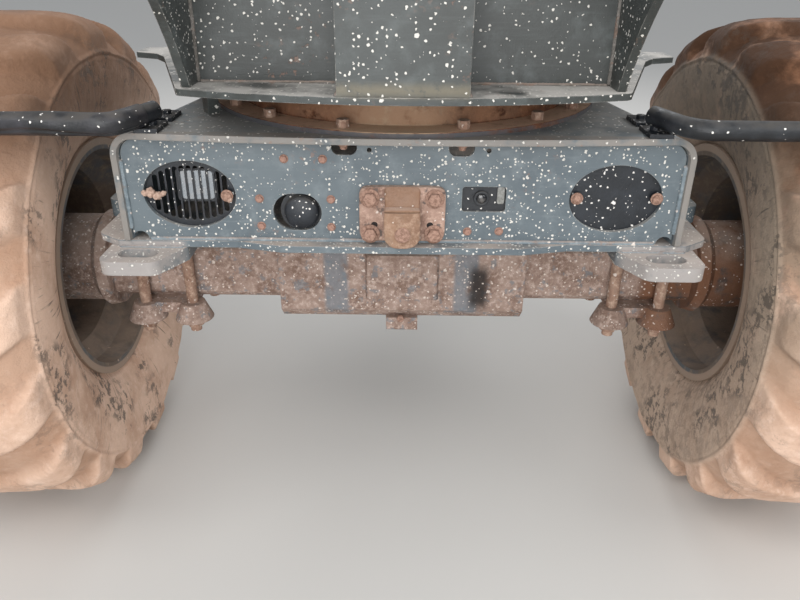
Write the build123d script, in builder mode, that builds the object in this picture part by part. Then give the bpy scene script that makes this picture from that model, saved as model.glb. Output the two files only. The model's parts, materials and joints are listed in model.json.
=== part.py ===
from build123d import *
import os
from math import atan2, cos, degrees, radians, sin, sqrt

os.makedirs("parts", exist_ok=True)

# Front chassis unit of a swivel site dumper, in millimetres.
# The origin is the middle of the articulation pin bore at the back of the unit.
# The front faces -Y, +X is the driver's left, and +Z is up.

# Driving dimensions, heights above the ground and distances ahead of the axle
PIVOT_H = 800.0
AXLE_AHEAD = 1250.0
TYRE_D = 1200.0
TYRE_W = 500.0
TRACK = 1926.0
RIM_BEAD_D = 571.5
RIM_W = 406.0
HOOD_FRONT_W = 1094.0
HOOD_BACK_W = 770.0
DECK_H = 1028.0
HOOD_H = 214.0
HOOD_AHEAD = 434.0
HOOD_BEHIND = 460.0
RING_D = 856.0
RING_H = 80.0
RUN_GAP = 0.3

GROUND = -PIVOT_H
AXLE_Y = -AXLE_AHEAD
AXLE_Z = GROUND + TYRE_D / 2
DECK_Z = GROUND + DECK_H
BED_Z = DECK_Z - HOOD_H
HOOD_SIDE = HOOD_FRONT_W / 2


def fore(distance):
    """Y of a distance ahead of the axle."""
    return AXLE_Y - distance


def facing(y):
    """The upright plane at y that looks forward, with X across and Z up."""
    return Plane.XZ.offset(-y)


def seen_from_left(x):
    """The upright plane at x that looks to the driver's left, with Y across and Z up."""
    return Plane.YZ.offset(x)


def save(piece, label):
    """Label a finished piece and write it."""
    piece.part.label = label
    export_step(piece.part, f"parts/{label}.step")


# Deck and hood, one folded plate that narrows towards the back
DECK_T = 12.0
HOOD_R = 46.0
LIP_BOW = 30.0
DECK_HOLE_R = 240.0
DRAIN_X, DRAIN_AHEAD, DRAIN_L, DRAIN_W = HOOD_SIDE - 128.0, 315.0, 16.0, 6.0
HOOD_END = fore(-HOOD_BEHIND)
LIP_SIDE_Y = fore(HOOD_AHEAD - LIP_BOW)
BOW_R = (HOOD_SIDE**2 + LIP_BOW**2) / (2 * LIP_BOW)


def hood_x(y):
    """Distance of the hood's outer side from the middle, at y."""
    share = (y - LIP_SIDE_Y) / (HOOD_END - LIP_SIDE_Y)
    return (HOOD_FRONT_W + share * (HOOD_BACK_W - HOOD_FRONT_W)) / 2


with BuildPart() as hood_shell:
    for y in (fore(HOOD_AHEAD), HOOD_END):
        with BuildSketch(facing(y)) as outside:
            with Locations((0, (BED_Z + DECK_Z) / 2)):
                Rectangle(2 * hood_x(y), DECK_Z - BED_Z)
            fillet(outside.vertices().group_by(Axis.Y)[-1], HOOD_R)
    loft(ruled=True)
    for y in (fore(HOOD_AHEAD), HOOD_END):
        with BuildSketch(facing(y)) as inside:
            with Locations((0, (BED_Z + DECK_Z - DECK_T) / 2)):
                Rectangle(2 * (hood_x(y) - DECK_T), DECK_Z - DECK_T - BED_Z)
            fillet(inside.vertices().group_by(Axis.Y)[-1], HOOD_R - DECK_T)
    loft(ruled=True, mode=Mode.SUBTRACT)
    with BuildSketch(Plane.XY.offset(BED_Z)):
        with Locations((0, LIP_SIDE_Y - LIP_BOW)):
            Rectangle(HOOD_FRONT_W + 2 * HOOD_R, 2 * LIP_BOW)
        with Locations((0, fore(HOOD_AHEAD) + BOW_R)):
            Circle(BOW_R, mode=Mode.SUBTRACT)
    extrude(amount=HOOD_H, mode=Mode.SUBTRACT)
    with BuildSketch(Plane.XY.offset(DECK_Z)):
        with Locations((0, AXLE_Y)):
            Circle(DECK_HOLE_R)
        with Locations((-DRAIN_X, fore(DRAIN_AHEAD)), (DRAIN_X, fore(DRAIN_AHEAD))):
            SlotOverall(DRAIN_L, DRAIN_W)
    extrude(amount=-2 * DECK_T, mode=Mode.SUBTRACT)
save(hood_shell, "hood_shell")

# Face plate, set back under the lip
FACE_T = 10.0
FACE_Y = fore(394.0)
FACE_TOP = DECK_Z - DECK_T
FACE_MID = BED_Z + 92.0
OVAL_X, OVAL_W, OVAL_H = HOOD_SIDE - 137.0, 178.0, 134.0
PLUG_X, PLUG_Z, PLUG_L, PLUG_W = -204.0, BED_Z + 59.0, 94.0, 74.0
CAM_X, CAM_Z, CAM_W, CAM_H, CAM_R = 157.0, BED_Z + 89.0, 84.0, 50.0, 6.0
NOTCH_X, NOTCH_W, NOTCH_H, NOTCH_R = 110.0, 48.0, 29.0, 14.0
WELD_HOLE_X, WELD_HOLE_R = HOOD_SIDE - 30.0, 16.0
FACE_HALF = hood_x(FACE_Y + FACE_T) - DECK_T - RUN_GAP
# Small holes under the lip: x, z
LIP_HOLES = ((-63, FACE_TOP - 19), (161, FACE_TOP - 18))
LIP_HOLE_R = 4.5

with BuildPart() as face_plate:
    with BuildSketch(facing(FACE_Y)) as face_outline:
        with Locations((0, (BED_Z + FACE_TOP) / 2)):
            Rectangle(2 * FACE_HALF, FACE_TOP - BED_Z)
        fillet(face_outline.vertices().group_by(Axis.Y)[-1], HOOD_R - DECK_T)
        with Locations((-OVAL_X, FACE_MID), (OVAL_X, FACE_MID)):
            Ellipse(OVAL_W / 2, OVAL_H / 2, mode=Mode.SUBTRACT)
        with Locations((PLUG_X, PLUG_Z)):
            SlotOverall(PLUG_L, PLUG_W, mode=Mode.SUBTRACT)
        with Locations((CAM_X, CAM_Z)):
            RectangleRounded(CAM_W, CAM_H, CAM_R, mode=Mode.SUBTRACT)
        with Locations((-NOTCH_X, FACE_TOP), (NOTCH_X, FACE_TOP)):
            RectangleRounded(NOTCH_W, 2 * NOTCH_H, NOTCH_R, mode=Mode.SUBTRACT)
        with Locations(LIP_HOLES):
            Circle(LIP_HOLE_R, mode=Mode.SUBTRACT)
        with Locations((-WELD_HOLE_X, BED_Z), (WELD_HOLE_X, BED_Z)):
            Circle(WELD_HOLE_R, mode=Mode.SUBTRACT)
    extrude(amount=-FACE_T)
save(face_plate, "face_plate")

# Bed plate under the hood, wider than the hood from its ears back to the axle
BED_T = 14.0
BED_UNDER = BED_Z - BED_T
EAR_X = 612.0
EAR_R = 26.0
EAR_AHEAD, WIDE_BEHIND = 396.0, 170.0
# Half outline of the bed: x, distance ahead of the axle
BED_HALF = (
    (0, 425),
    (235, 425),
    (325, 402),
    (560, 402),
    (EAR_X, EAR_AHEAD - 30),
    (EAR_X, -WIDE_BEHIND),
    (hood_x(HOOD_END), -WIDE_BEHIND - 160),
    (hood_x(HOOD_END), -HOOD_BEHIND),
    (0, -HOOD_BEHIND),
)

with BuildPart() as bed_plate:
    with BuildSketch(Plane.XY.offset(BED_Z)) as bed_outline:
        with BuildLine():
            Polyline([(x, fore(d)) for x, d in BED_HALF], close=True)
        make_face()
        mirror(about=Plane.YZ)
        fillet(bed_outline.vertices().filter_by(lambda v: abs(abs(v.X) - EAR_X) < 1), EAR_R)
    extrude(amount=-BED_T)
save(bed_plate, "bed_plate")

# Lashing lugs, thick plates welded under the bed's front corners
LUG_T = 28.0
LUG_R = 26.0
LUG_SLOT_X, LUG_SLOT_AHEAD, LUG_SLOT_L, LUG_SLOT_W = 512.0, 435.0, 77.0, 40.0
# Outline of a lug: x, distance ahead of the axle
LUG_OUTLINE = ((579, 300), (579, 480), (468, 480), (425, 400), (425, 300))

for side, label in ((1, "lashing_lug_left"), (-1, "lashing_lug_right")):
    with BuildPart() as lashing_lug:
        with BuildSketch(Plane.XY.offset(BED_UNDER)) as lug_outline:
            with BuildLine():
                Polyline([(side * x, fore(d)) for x, d in LUG_OUTLINE], close=True)
            make_face()
            fillet(lug_outline.vertices().group_by(Axis.Y)[0], LUG_R)
            with Locations((side * LUG_SLOT_X, fore(LUG_SLOT_AHEAD))):
                SlotOverall(LUG_SLOT_L, LUG_SLOT_W, mode=Mode.SUBTRACT)
        extrude(amount=-LUG_T)
    save(lashing_lug, label)

# Axle seats under the bed: a stepped block each side with tapped holes for the studs
ARM_H, ARM_D = 152.0, 160.0
SEAT_X, SEAT_W, SEAT_D = 588.0, 196.0, 256.0
SEAT_STEP = 15.0
STUD_R = 14.0
STUD_OUT, STUD_IN, STUD_AHEAD = 647.0, 529.0, 100.0
SEAT_PAD_Z = AXLE_Z + ARM_H / 2 + RUN_GAP
SEAT_FOOT_H = (BED_UNDER - SEAT_PAD_Z) / 3
STUD_SPOTS = [(x, fore(d)) for x in (STUD_IN, STUD_OUT) for d in (-STUD_AHEAD, STUD_AHEAD)]
STUD_TOP = BED_UNDER - 6.0

for side, label in ((1, "axle_seat_left"), (-1, "axle_seat_right")):
    with BuildPart() as axle_seat:
        with BuildSketch(Plane.XY.offset(BED_UNDER)):
            with Locations((side * SEAT_X, AXLE_Y)):
                RectangleRounded(SEAT_W, SEAT_D, 20)
        extrude(amount=-SEAT_FOOT_H)
        with BuildSketch(Plane.XY.offset(BED_UNDER - SEAT_FOOT_H)):
            with Locations((side * SEAT_X, AXLE_Y)):
                Rectangle(SEAT_W - 2 * SEAT_STEP, ARM_D - 6)
        extrude(amount=-(BED_UNDER - SEAT_FOOT_H - SEAT_PAD_Z))
        with BuildSketch(Plane.XY.offset(STUD_TOP)):
            with Locations([(side * x, y) for x, y in STUD_SPOTS]):
                Circle(STUD_R + RUN_GAP)
        extrude(amount=-SEAT_FOOT_H, mode=Mode.SUBTRACT)
    save(axle_seat, label)

# Front axle: differential bowl, square arms, brake drums and the drive flange at the back
BOWL_W, BOWL_UP, BOWL_DOWN, BOWL_D = 604.0, 100.0, 116.0, 240.0
BOWL_CHAMFER, ARM_CHAMFER = 32.0, 18.0
ARM_END_X = 752.0
BRAKE_R, BRAKE_END_X = 112.0, 900.0
SPINDLE_R, SPINDLE_END_X = 60.0, 985.0
NOSE_R, NOSE_BACK = 88.0, 330.0
DRIVE_R, DRIVE_T, DRIVE_PCD, DRIVE_BOLT_R = 60.0, 16.0, 95.0, 5.5
SUMP_W, SUMP_H, SUMP_AHEAD = 80.0, 34.0, 70.0
COVER_Z, COVER_W, COVER_H, COVER_T = 11.0, 180.0, 126.0, 14.0
NOSE_TAPER, COVER_TAPER = 8.0, 20.0
axle_line = Axis((0, AXLE_Y, AXLE_Z), (1, 0, 0))

with BuildPart() as axle_housing:
    with BuildSketch(seen_from_left(-BOWL_W / 2)) as bowl_outline:
        with Locations((AXLE_Y, AXLE_Z + (BOWL_UP - BOWL_DOWN) / 2)):
            Rectangle(BOWL_D, BOWL_UP + BOWL_DOWN)
        chamfer(bowl_outline.vertices(), BOWL_CHAMFER)
    extrude(amount=BOWL_W)
    with BuildSketch(seen_from_left(-ARM_END_X)) as arm_outline:
        with Locations((AXLE_Y, AXLE_Z)):
            Rectangle(ARM_D, ARM_H)
        chamfer(arm_outline.vertices(), ARM_CHAMFER)
    extrude(amount=2 * ARM_END_X)
    with BuildSketch(Plane((0, AXLE_Y, AXLE_Z), x_dir=(1, 0, 0), z_dir=(0, -1, 0))):
        with BuildLine():
            Polyline(
                (0, 0),
                (0, SPINDLE_R),
                (ARM_END_X - 24, SPINDLE_R),
                (ARM_END_X - 24, 118),
                (ARM_END_X, 124),
                (ARM_END_X + 14, BRAKE_R),
                (BRAKE_END_X - 16, BRAKE_R),
                (BRAKE_END_X, BRAKE_R - 16),
                (BRAKE_END_X, SPINDLE_R),
                (SPINDLE_END_X, SPINDLE_R),
                (SPINDLE_END_X, 0),
                close=True,
            )
        make_face()
        mirror(about=Plane.YZ)
    revolve(axis=axle_line)
    with BuildSketch(facing(fore(-BOWL_D / 2 + 10))):
        with Locations((0, AXLE_Z)):
            Circle(NOSE_R)
    extrude(amount=-(NOSE_BACK - BOWL_D / 2 + 10), taper=NOSE_TAPER)
    with BuildSketch(facing(fore(BOWL_D / 2))):
        with Locations((0, AXLE_Z + COVER_Z)):
            Rectangle(COVER_W, COVER_H)
    extrude(amount=COVER_T, taper=COVER_TAPER)
    with BuildSketch(Plane.XY.offset(AXLE_Z - BOWL_DOWN + 4)):
        with Locations((0, fore(SUMP_AHEAD))):
            Rectangle(SUMP_W, SUMP_W)
    extrude(amount=-SUMP_H)
save(axle_housing, "axle_housing")

NOSE_END = fore(-NOSE_BACK)
with BuildPart() as drive_flange:
    with BuildSketch(facing(NOSE_END)):
        with Locations((0, AXLE_Z)):
            Circle(DRIVE_R)
            with PolarLocations(DRIVE_PCD / 2, 4, start_angle=45):
                Circle(DRIVE_BOLT_R, mode=Mode.SUBTRACT)
    extrude(amount=-DRIVE_T)
save(drive_flange, "drive_flange")

# Clamp under each axle arm, with a flared foot round each stud
CLAMP_TOP = AXLE_Z - ARM_H / 2 - RUN_GAP
CLAMP_T = 28.0
FOOT_R, FOOT_NECK_R, FOOT_H = 48.0, 30.0, 44.0
FOOT_FLARE = degrees(atan2(FOOT_R - FOOT_NECK_R, FOOT_H))
for side, label in ((1, "axle_clamp_left"), (-1, "axle_clamp_right")):
    with BuildPart() as axle_clamp:
        with BuildSketch(Plane.XY.offset(CLAMP_TOP)):
            with Locations((side * SEAT_X, AXLE_Y)):
                Rectangle(STUD_OUT - STUD_IN, ARM_D + 60)
        extrude(amount=-CLAMP_T)
        with BuildSketch(Plane.XY.offset(CLAMP_TOP)):
            with Locations([(side * x, y) for x, y in STUD_SPOTS]):
                Circle(FOOT_NECK_R)
        extrude(amount=-FOOT_H, taper=-FOOT_FLARE)
        with BuildSketch(Plane.XY.offset(CLAMP_TOP)):
            with Locations([(side * x, y) for x, y in STUD_SPOTS]):
                Circle(STUD_R + RUN_GAP)
        extrude(amount=-FOOT_H, mode=Mode.SUBTRACT)
    save(axle_clamp, label)

NUT_R, NUT_H = 21.0, 22.0
NUT_Z = CLAMP_TOP - FOOT_H
with BuildPart() as axle_studs:
    with BuildSketch(Plane.XY.offset(STUD_TOP - 1)):
        with Locations([(side * x, y) for side in (1, -1) for x, y in STUD_SPOTS]):
            Circle(STUD_R)
    extrude(amount=-(STUD_TOP - 1 - NUT_Z + NUT_H + 14))
    with BuildSketch(Plane.XY.offset(NUT_Z)):
        with Locations([(side * x, y) for side in (1, -1) for x, y in STUD_SPOTS]):
            RegularPolygon(NUT_R, 6)
    extrude(amount=-NUT_H)
save(axle_studs, "axle_studs")

# Rear frame: a back plate on the hood and two rails that close in on the articulation head
BACK_T = 12.0
RAIL_T = 20.0
RAIL_WIDE, RAIL_NARROW = HOOD_BACK_W / 2 - 20, 130.0
EAR_GAP, EAR_T = 180.0, 30.0
HEAD_H = EAR_GAP + 2 * EAR_T
RAIL_START = HOOD_END + BACK_T
HEAD_Y = -210.0
HEAD_BACK = -420.0
PIN_R = 30.0
EAR_END_R = 95.0
COVER_END = HOOD_END + 220.0
STEER_Y, STEER_OUT, STEER_R, STEER_LUG_R, STEER_T = -430.0, 60.0, 15.2, 36.0, 24.0


def rail_x(y):
    """Distance of a rail's outer side from the middle, at y."""
    share = (HEAD_Y - y) / (HEAD_Y - RAIL_START)
    return RAIL_NARROW + share * (RAIL_WIDE - RAIL_NARROW)


with BuildPart() as back_plate:
    with BuildSketch(facing(HOOD_END)) as back_outline:
        with Locations((0, (BED_UNDER + DECK_Z) / 2)):
            Rectangle(HOOD_BACK_W, DECK_Z - BED_UNDER)
        fillet(back_outline.vertices().group_by(Axis.Y)[-1], HOOD_R)
    extrude(amount=-BACK_T)
save(back_plate, "back_plate")

# Side profile of the rails: y, z
RAIL_PROFILE = (
    (RAIL_START, BED_UNDER),
    (RAIL_START, DECK_Z - DECK_T),
    (COVER_END, DECK_Z - DECK_T),
    (HEAD_Y, HEAD_H / 2),
    (HEAD_Y, -HEAD_H / 2),
    (RAIL_START + 310, -HEAD_H / 2),
)
for side, label in ((1, "rear_rail_left"), (-1, "rear_rail_right")):
    with BuildPart() as rear_rail:
        with BuildSketch(Plane.XY.offset(-HEAD_H)):
            with BuildLine():
                Polyline(
                    (side * RAIL_WIDE, RAIL_START),
                    (side * RAIL_NARROW, HEAD_Y),
                    (side * (RAIL_NARROW - RAIL_T), HEAD_Y),
                    (side * (RAIL_WIDE - RAIL_T), RAIL_START),
                    close=True,
                )
            make_face()
        extrude(amount=DECK_Z + HEAD_H)
        with BuildSketch(seen_from_left(-HOOD_BACK_W)):
            with BuildLine():
                Polyline(RAIL_PROFILE, close=True)
            make_face()
        extrude(amount=2 * HOOD_BACK_W, mode=Mode.INTERSECT)
        steer_x = rail_x(STEER_Y) + STEER_OUT
        with BuildSketch(Plane.XY.offset(-STEER_T / 2)):
            with BuildLine():
                Polyline(
                    (side * (rail_x(STEER_Y - 90) - 5), STEER_Y - 90),
                    (side * (steer_x + STEER_LUG_R), STEER_Y),
                    (side * (rail_x(STEER_Y + 90) - 5), STEER_Y + 90),
                    close=True,
                )
            make_face()
            with Locations((side * steer_x, STEER_Y)):
                Circle(STEER_LUG_R)
                Circle(STEER_R, mode=Mode.SUBTRACT)
        extrude(amount=STEER_T)
    save(rear_rail, label)

# Cover and belly plates between the rails: label, top, start, end
REAR_PLATES = (
    ("rear_cover", DECK_Z - DECK_T, RAIL_START, COVER_END),
    ("rear_belly", BED_UNDER + DECK_T, RAIL_START, RAIL_START + 90.0),
)
for label, top, start, end in REAR_PLATES:
    with BuildPart() as rear_plate:
        with BuildSketch(Plane.XY.offset(top)):
            with BuildLine():
                Polyline(
                    (rail_x(start) - RAIL_T, start),
                    (rail_x(end) - RAIL_T, end),
                    (RAIL_T - rail_x(end), end),
                    (RAIL_T - rail_x(start), start),
                    close=True,
                )
            make_face()
        extrude(amount=-DECK_T)
    save(rear_plate, label)

# Articulation head: two thick ears between the rails and a web behind the pin
for label, low in (("pivot_ear_upper", EAR_GAP / 2), ("pivot_ear_lower", -EAR_GAP / 2 - EAR_T)):
    with BuildPart() as pivot_ear:
        with BuildSketch(Plane.XY.offset(low)):
            with BuildLine():
                Polyline(
                    (rail_x(HEAD_BACK) - RAIL_T, HEAD_BACK),
                    (RAIL_NARROW - RAIL_T, HEAD_Y),
                    (EAR_END_R, 0),
                    (-EAR_END_R, 0),
                    (RAIL_T - RAIL_NARROW, HEAD_Y),
                    (RAIL_T - rail_x(HEAD_BACK), HEAD_BACK),
                    close=True,
                )
            make_face()
            Circle(EAR_END_R)
            Circle(PIN_R, mode=Mode.SUBTRACT)
        extrude(amount=EAR_T)
    save(pivot_ear, label)

with BuildPart() as head_web:
    with BuildSketch(Plane.XY.offset(-EAR_GAP / 2)):
        with Locations((0, HEAD_Y + RAIL_T / 2 - RAIL_T)):
            Rectangle(2 * (RAIL_NARROW - RAIL_T), RAIL_T)
    extrude(amount=EAR_GAP)
save(head_web, "head_web")

# Slew ring: a fixed flange and race on the deck, and the turning race inside it
RACE_R, RACE_WALL = 352.0, 20.0
FLANGE_T = 10.0
RACE_TOP = DECK_Z + RING_H - 20.0
RING_BOLT_R, RING_HEAD_R, RING_HEAD_H = 404.0, 12.0, 16.0
# Angle of each ring bolt from straight ahead, on both sides
RING_BOLT_ANGLES = (16, 40, 59.5, 90, 120.5, 140, 164)
BASE_UNDER = DECK_Z + RING_H
INNER_RACE_R = 262.0

with BuildPart() as slew_ring_outer:
    with BuildSketch(Plane.XY.offset(DECK_Z)):
        with Locations((0, AXLE_Y)):
            Circle(RING_D / 2)
            Circle(RACE_R, mode=Mode.SUBTRACT)
    extrude(amount=FLANGE_T)
    with BuildSketch(Plane.XY.offset(DECK_Z)):
        with Locations((0, AXLE_Y)):
            Circle(RACE_R + RACE_WALL)
            Circle(RACE_R, mode=Mode.SUBTRACT)
    extrude(amount=RACE_TOP - DECK_Z)
save(slew_ring_outer, "slew_ring_outer")

with BuildPart() as ring_bolts:
    with BuildSketch(Plane.XY.offset(DECK_Z + FLANGE_T)):
        for turn in [radians(side * angle) for side in (1, -1) for angle in RING_BOLT_ANGLES]:
            with Locations((RING_BOLT_R * sin(turn), fore(RING_BOLT_R * cos(turn)))):
                RegularPolygon(RING_HEAD_R, 6)
    extrude(amount=RING_HEAD_H)
save(ring_bolts, "ring_bolts")

with BuildPart() as slew_ring_inner:
    with BuildSketch(Plane.XY.offset(DECK_Z + 6)):
        with Locations((0, AXLE_Y)):
            Circle(RACE_R - RUN_GAP)
            Circle(INNER_RACE_R, mode=Mode.SUBTRACT)
    extrude(amount=RING_H - 6)
save(slew_ring_inner, "slew_ring_inner")

# Swivel turntable that carries the skip
BASE_T = 12.0
BASE_TOP = BASE_UNDER + BASE_T
CHEEK_X, CHEEK_T = 380.0, 15.0
BASE_AHEAD, CORNER_X, CORNER_AHEAD, CORNER_R = 532.0, 388.0, 468.0, 20.0
BASE_HOLE_R = 150.0
SKIP_PIN_AHEAD, SKIP_PIN_Z, SKIP_PIN_R = 650.0, BASE_TOP + 210.0, 22.5
SKIP_BOSS_R, SKIP_BOSS_L = 48.0, 60.0
PANEL_AHEAD, PANEL_T, PANEL_TOP = 404.0, 10.0, BASE_TOP + 200.0
REAR_PANEL_H = 80.0
CHEEK_BACK = 262.0
BOX_W, BOX_AHEAD = 218.0, 526.0
RAM_X, RAM_T, RAM_BEHIND, RAM_Z, RAM_R, RAM_EAR_R = 46.0, 20.0, 204.0, BASE_TOP + 75.0, 20.0, 46.0
# Half outline of the base behind its curved front edge, with its wing: x, distance ahead of the axle
BASE_HALF = (
    (CORNER_X, CORNER_AHEAD),
    (476, 222),
    (512, 122),
    (540, 80),
    (592, 58),
    (592, -12),
    (540, -20),
    (392, -420),
)

with BuildPart() as turntable_base:
    with BuildSketch(Plane.XY.offset(BASE_UNDER)) as base_outline:
        with BuildLine():
            ThreePointArc(
                (-CORNER_X, fore(CORNER_AHEAD)),
                (0, fore(BASE_AHEAD)),
                (CORNER_X, fore(CORNER_AHEAD)),
            )
            Polyline([(x, fore(d)) for x, d in BASE_HALF] + [(-x, fore(d)) for x, d in reversed(BASE_HALF)])
        make_face()
        fillet(base_outline.vertices().group_by(Axis.Y)[0], CORNER_R)
        with Locations((0, AXLE_Y)):
            Circle(BASE_HOLE_R, mode=Mode.SUBTRACT)
    extrude(amount=BASE_T)
save(turntable_base, "turntable_base")

# Cheek plates: their front edges sweep forward and up to the skip's pivot
CHEEK_FOOT_AHEAD = CORNER_AHEAD - 10.0
# Front sweep of a cheek, then the outline behind it: distance ahead of the axle, z
CHEEK_SWEEP = ((CHEEK_FOOT_AHEAD, BASE_TOP), (512, BASE_TOP + 82), (SKIP_PIN_AHEAD - 40, SKIP_PIN_Z - 26))
CHEEK_BEHIND = (
    CHEEK_SWEEP[-1],
    (SKIP_PIN_AHEAD, SKIP_PIN_Z),
    (SKIP_PIN_AHEAD - 30, SKIP_PIN_Z + 36),
    (420, BASE_TOP + 240),
    (-CHEEK_BACK, BASE_TOP + 80),
    (-CHEEK_BACK, BASE_TOP),
    CHEEK_SWEEP[0],
)
for side, label in ((1, "cheek_left"), (-1, "cheek_right")):
    cheek_mid = side * (CHEEK_X - CHEEK_T / 2)
    with BuildPart() as cheek:
        with BuildSketch(seen_from_left(cheek_mid - CHEEK_T / 2)):
            with BuildLine():
                ThreePointArc([(fore(ahead), z) for ahead, z in CHEEK_SWEEP])
                Polyline([(fore(ahead), z) for ahead, z in CHEEK_BEHIND])
            make_face()
        extrude(amount=CHEEK_T)
        with BuildSketch(seen_from_left(cheek_mid - SKIP_BOSS_L / 2)):
            with Locations((fore(SKIP_PIN_AHEAD), SKIP_PIN_Z)):
                Circle(SKIP_BOSS_R)
        extrude(amount=SKIP_BOSS_L)
        with BuildSketch(seen_from_left(cheek_mid - SKIP_BOSS_L / 2)):
            with Locations((fore(SKIP_PIN_AHEAD), SKIP_PIN_Z)):
                Circle(SKIP_PIN_R)
        extrude(amount=SKIP_BOSS_L, mode=Mode.SUBTRACT)
    save(cheek, label)

with BuildPart() as cross_panel:
    with BuildSketch(facing(fore(PANEL_AHEAD))):
        with Locations((0, (BASE_TOP + PANEL_TOP) / 2)):
            Rectangle(2 * (CHEEK_X - CHEEK_T), PANEL_TOP - BASE_TOP)
    extrude(amount=-PANEL_T)
save(cross_panel, "cross_panel")

with BuildPart() as centre_box:
    with BuildSketch(Plane.XY.offset(BASE_TOP)):
        with Locations((0, (fore(PANEL_AHEAD) + fore(BOX_AHEAD)) / 2)):
            Rectangle(BOX_W, BOX_AHEAD - PANEL_AHEAD)
        with Locations((0, (fore(PANEL_AHEAD) + fore(BOX_AHEAD)) / 2 + PANEL_T)):
            Rectangle(BOX_W - 2 * PANEL_T, BOX_AHEAD - PANEL_AHEAD, mode=Mode.SUBTRACT)
    extrude(amount=PANEL_TOP - BASE_TOP)
save(centre_box, "centre_box")

with BuildPart() as rear_panel:
    with BuildSketch(facing(fore(-CHEEK_BACK + PANEL_T))):
        with Locations((0, BASE_TOP + REAR_PANEL_H / 2)):
            Rectangle(2 * (CHEEK_X - CHEEK_T), REAR_PANEL_H)
    extrude(amount=-PANEL_T)
save(rear_panel, "rear_panel")

with BuildPart() as ram_ears:
    for side in (1, -1):
        with BuildSketch(seen_from_left(side * RAM_X - RAM_T / 2)):
            with Locations((fore(-RAM_BEHIND), (BASE_TOP + RAM_Z) / 2)):
                Rectangle(2 * RAM_EAR_R, RAM_Z - BASE_TOP)
            with Locations((fore(-RAM_BEHIND), RAM_Z)):
                Circle(RAM_EAR_R)
                Circle(RAM_R, mode=Mode.SUBTRACT)
        extrude(amount=RAM_T)
save(ram_ears, "ram_ears")

STOP_X, STOP_AHEAD, STOP_W, STOP_T, STOP_H = -383.0, 271.0, 30.0, 22.0, 72.0
with BuildPart() as stop_tab:
    with BuildSketch(Plane.XY.offset(BASE_UNDER)):
        with Locations(Location((STOP_X, fore(STOP_AHEAD)), degrees(atan2(-STOP_AHEAD, STOP_X)))):
            Rectangle(STOP_T, STOP_W)
    extrude(amount=-STOP_H)
save(stop_tab, "stop_tab")

# Work lamp behind its slotted guard, and the blank cover on the other side
GUARD_W, GUARD_H, GUARD_T = 198.0, 154.0, 4.0
FACE_BACK = FACE_Y + FACE_T
SLIT_N, SLIT_PITCH, SLIT_W, SLIT_END = 11, 13.4, 9.6, 12.0
LAMP_W, LAMP_H, LAMP_D, LAMP_R = 78.0, 66.0, 52.0, 8.0
LAMP_DX, LAMP_DZ, LAMP_TAPER = 12.0, 15.0, 6.0

with BuildPart() as lamp_guard:
    with BuildSketch(facing(FACE_BACK)):
        with Locations((-OVAL_X, FACE_MID)):
            Ellipse(GUARD_W / 2, GUARD_H / 2)
        for k in range(SLIT_N):
            slit_x = (k - (SLIT_N - 1) / 2) * SLIT_PITCH
            slit_h = 2 * (OVAL_H / 2 - SLIT_END) * sqrt(1 - (2 * slit_x / OVAL_W) ** 2)
            with Locations(Location((-OVAL_X + slit_x, FACE_MID), 90)):
                SlotOverall(slit_h, SLIT_W, mode=Mode.SUBTRACT)
    extrude(amount=-GUARD_T)
save(lamp_guard, "lamp_guard")

with BuildPart() as work_lamp:
    with BuildSketch(facing(FACE_BACK + GUARD_T)):
        with Locations((-OVAL_X + LAMP_DX, FACE_MID + LAMP_DZ)):
            RectangleRounded(LAMP_W, LAMP_H, LAMP_R)
    extrude(amount=-LAMP_D, taper=LAMP_TAPER)
save(work_lamp, "work_lamp")

with BuildPart() as oval_cover:
    with BuildSketch(facing(FACE_BACK)):
        with Locations((OVAL_X, FACE_MID)):
            Ellipse(GUARD_W / 2, GUARD_H / 2)
    extrude(amount=-GUARD_T)
save(oval_cover, "oval_cover")

CAP_X, CAP_R, CAP_RIM_R = -196.0, 34.0, 42.0
with BuildPart() as round_cap:
    with BuildSketch(facing(FACE_BACK)):
        with Locations((CAP_X, PLUG_Z)):
            Circle(CAP_RIM_R)
    extrude(amount=-14)
    with BuildSketch(facing(FACE_BACK)):
        with Locations((CAP_X, PLUG_Z)):
            Circle(CAP_R)
    extrude(amount=FACE_T + 3)
    fillet(round_cap.edges().group_by(Axis.Y)[0], 9)
save(round_cap, "round_cap")

LENS_R = 11.0
with BuildPart() as camera_unit:
    with BuildSketch(facing(FACE_Y + 5)):
        with Locations((CAM_X, CAM_Z)):
            RectangleRounded(CAM_W - 2 * RUN_GAP, CAM_H - 2 * RUN_GAP, CAM_R)
    extrude(amount=-45)
    with BuildSketch(facing(FACE_Y + 5)):
        with Locations((CAM_X, CAM_Z)):
            Circle(LENS_R)
    extrude(amount=4)
save(camera_unit, "camera_unit")

# Tow bracket: a rounded plate with four bolts and a bent tongue
TOW_W, TOW_H, TOW_T, TOW_R, TOW_Z = 166.0, 110.0, 12.0, 16.0, BED_Z + 61.0
TOW_BOLT_X, TOW_HEAD_R, TOW_HEAD_H = 62.0, 15.0, 13.0
TOW_BOLT_ZS = (TOW_Z - 40.0, TOW_Z + 32.0)
TONGUE_W, TONGUE_T, TONGUE_R, TONGUE_TOP, TONGUE_LOW = 70.0, 12.0, 12.0, 46.0, 58.0
TONGUE_FRONT = FACE_Y - TOW_T - TONGUE_T
TONGUE_REACH = 60.0
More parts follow.
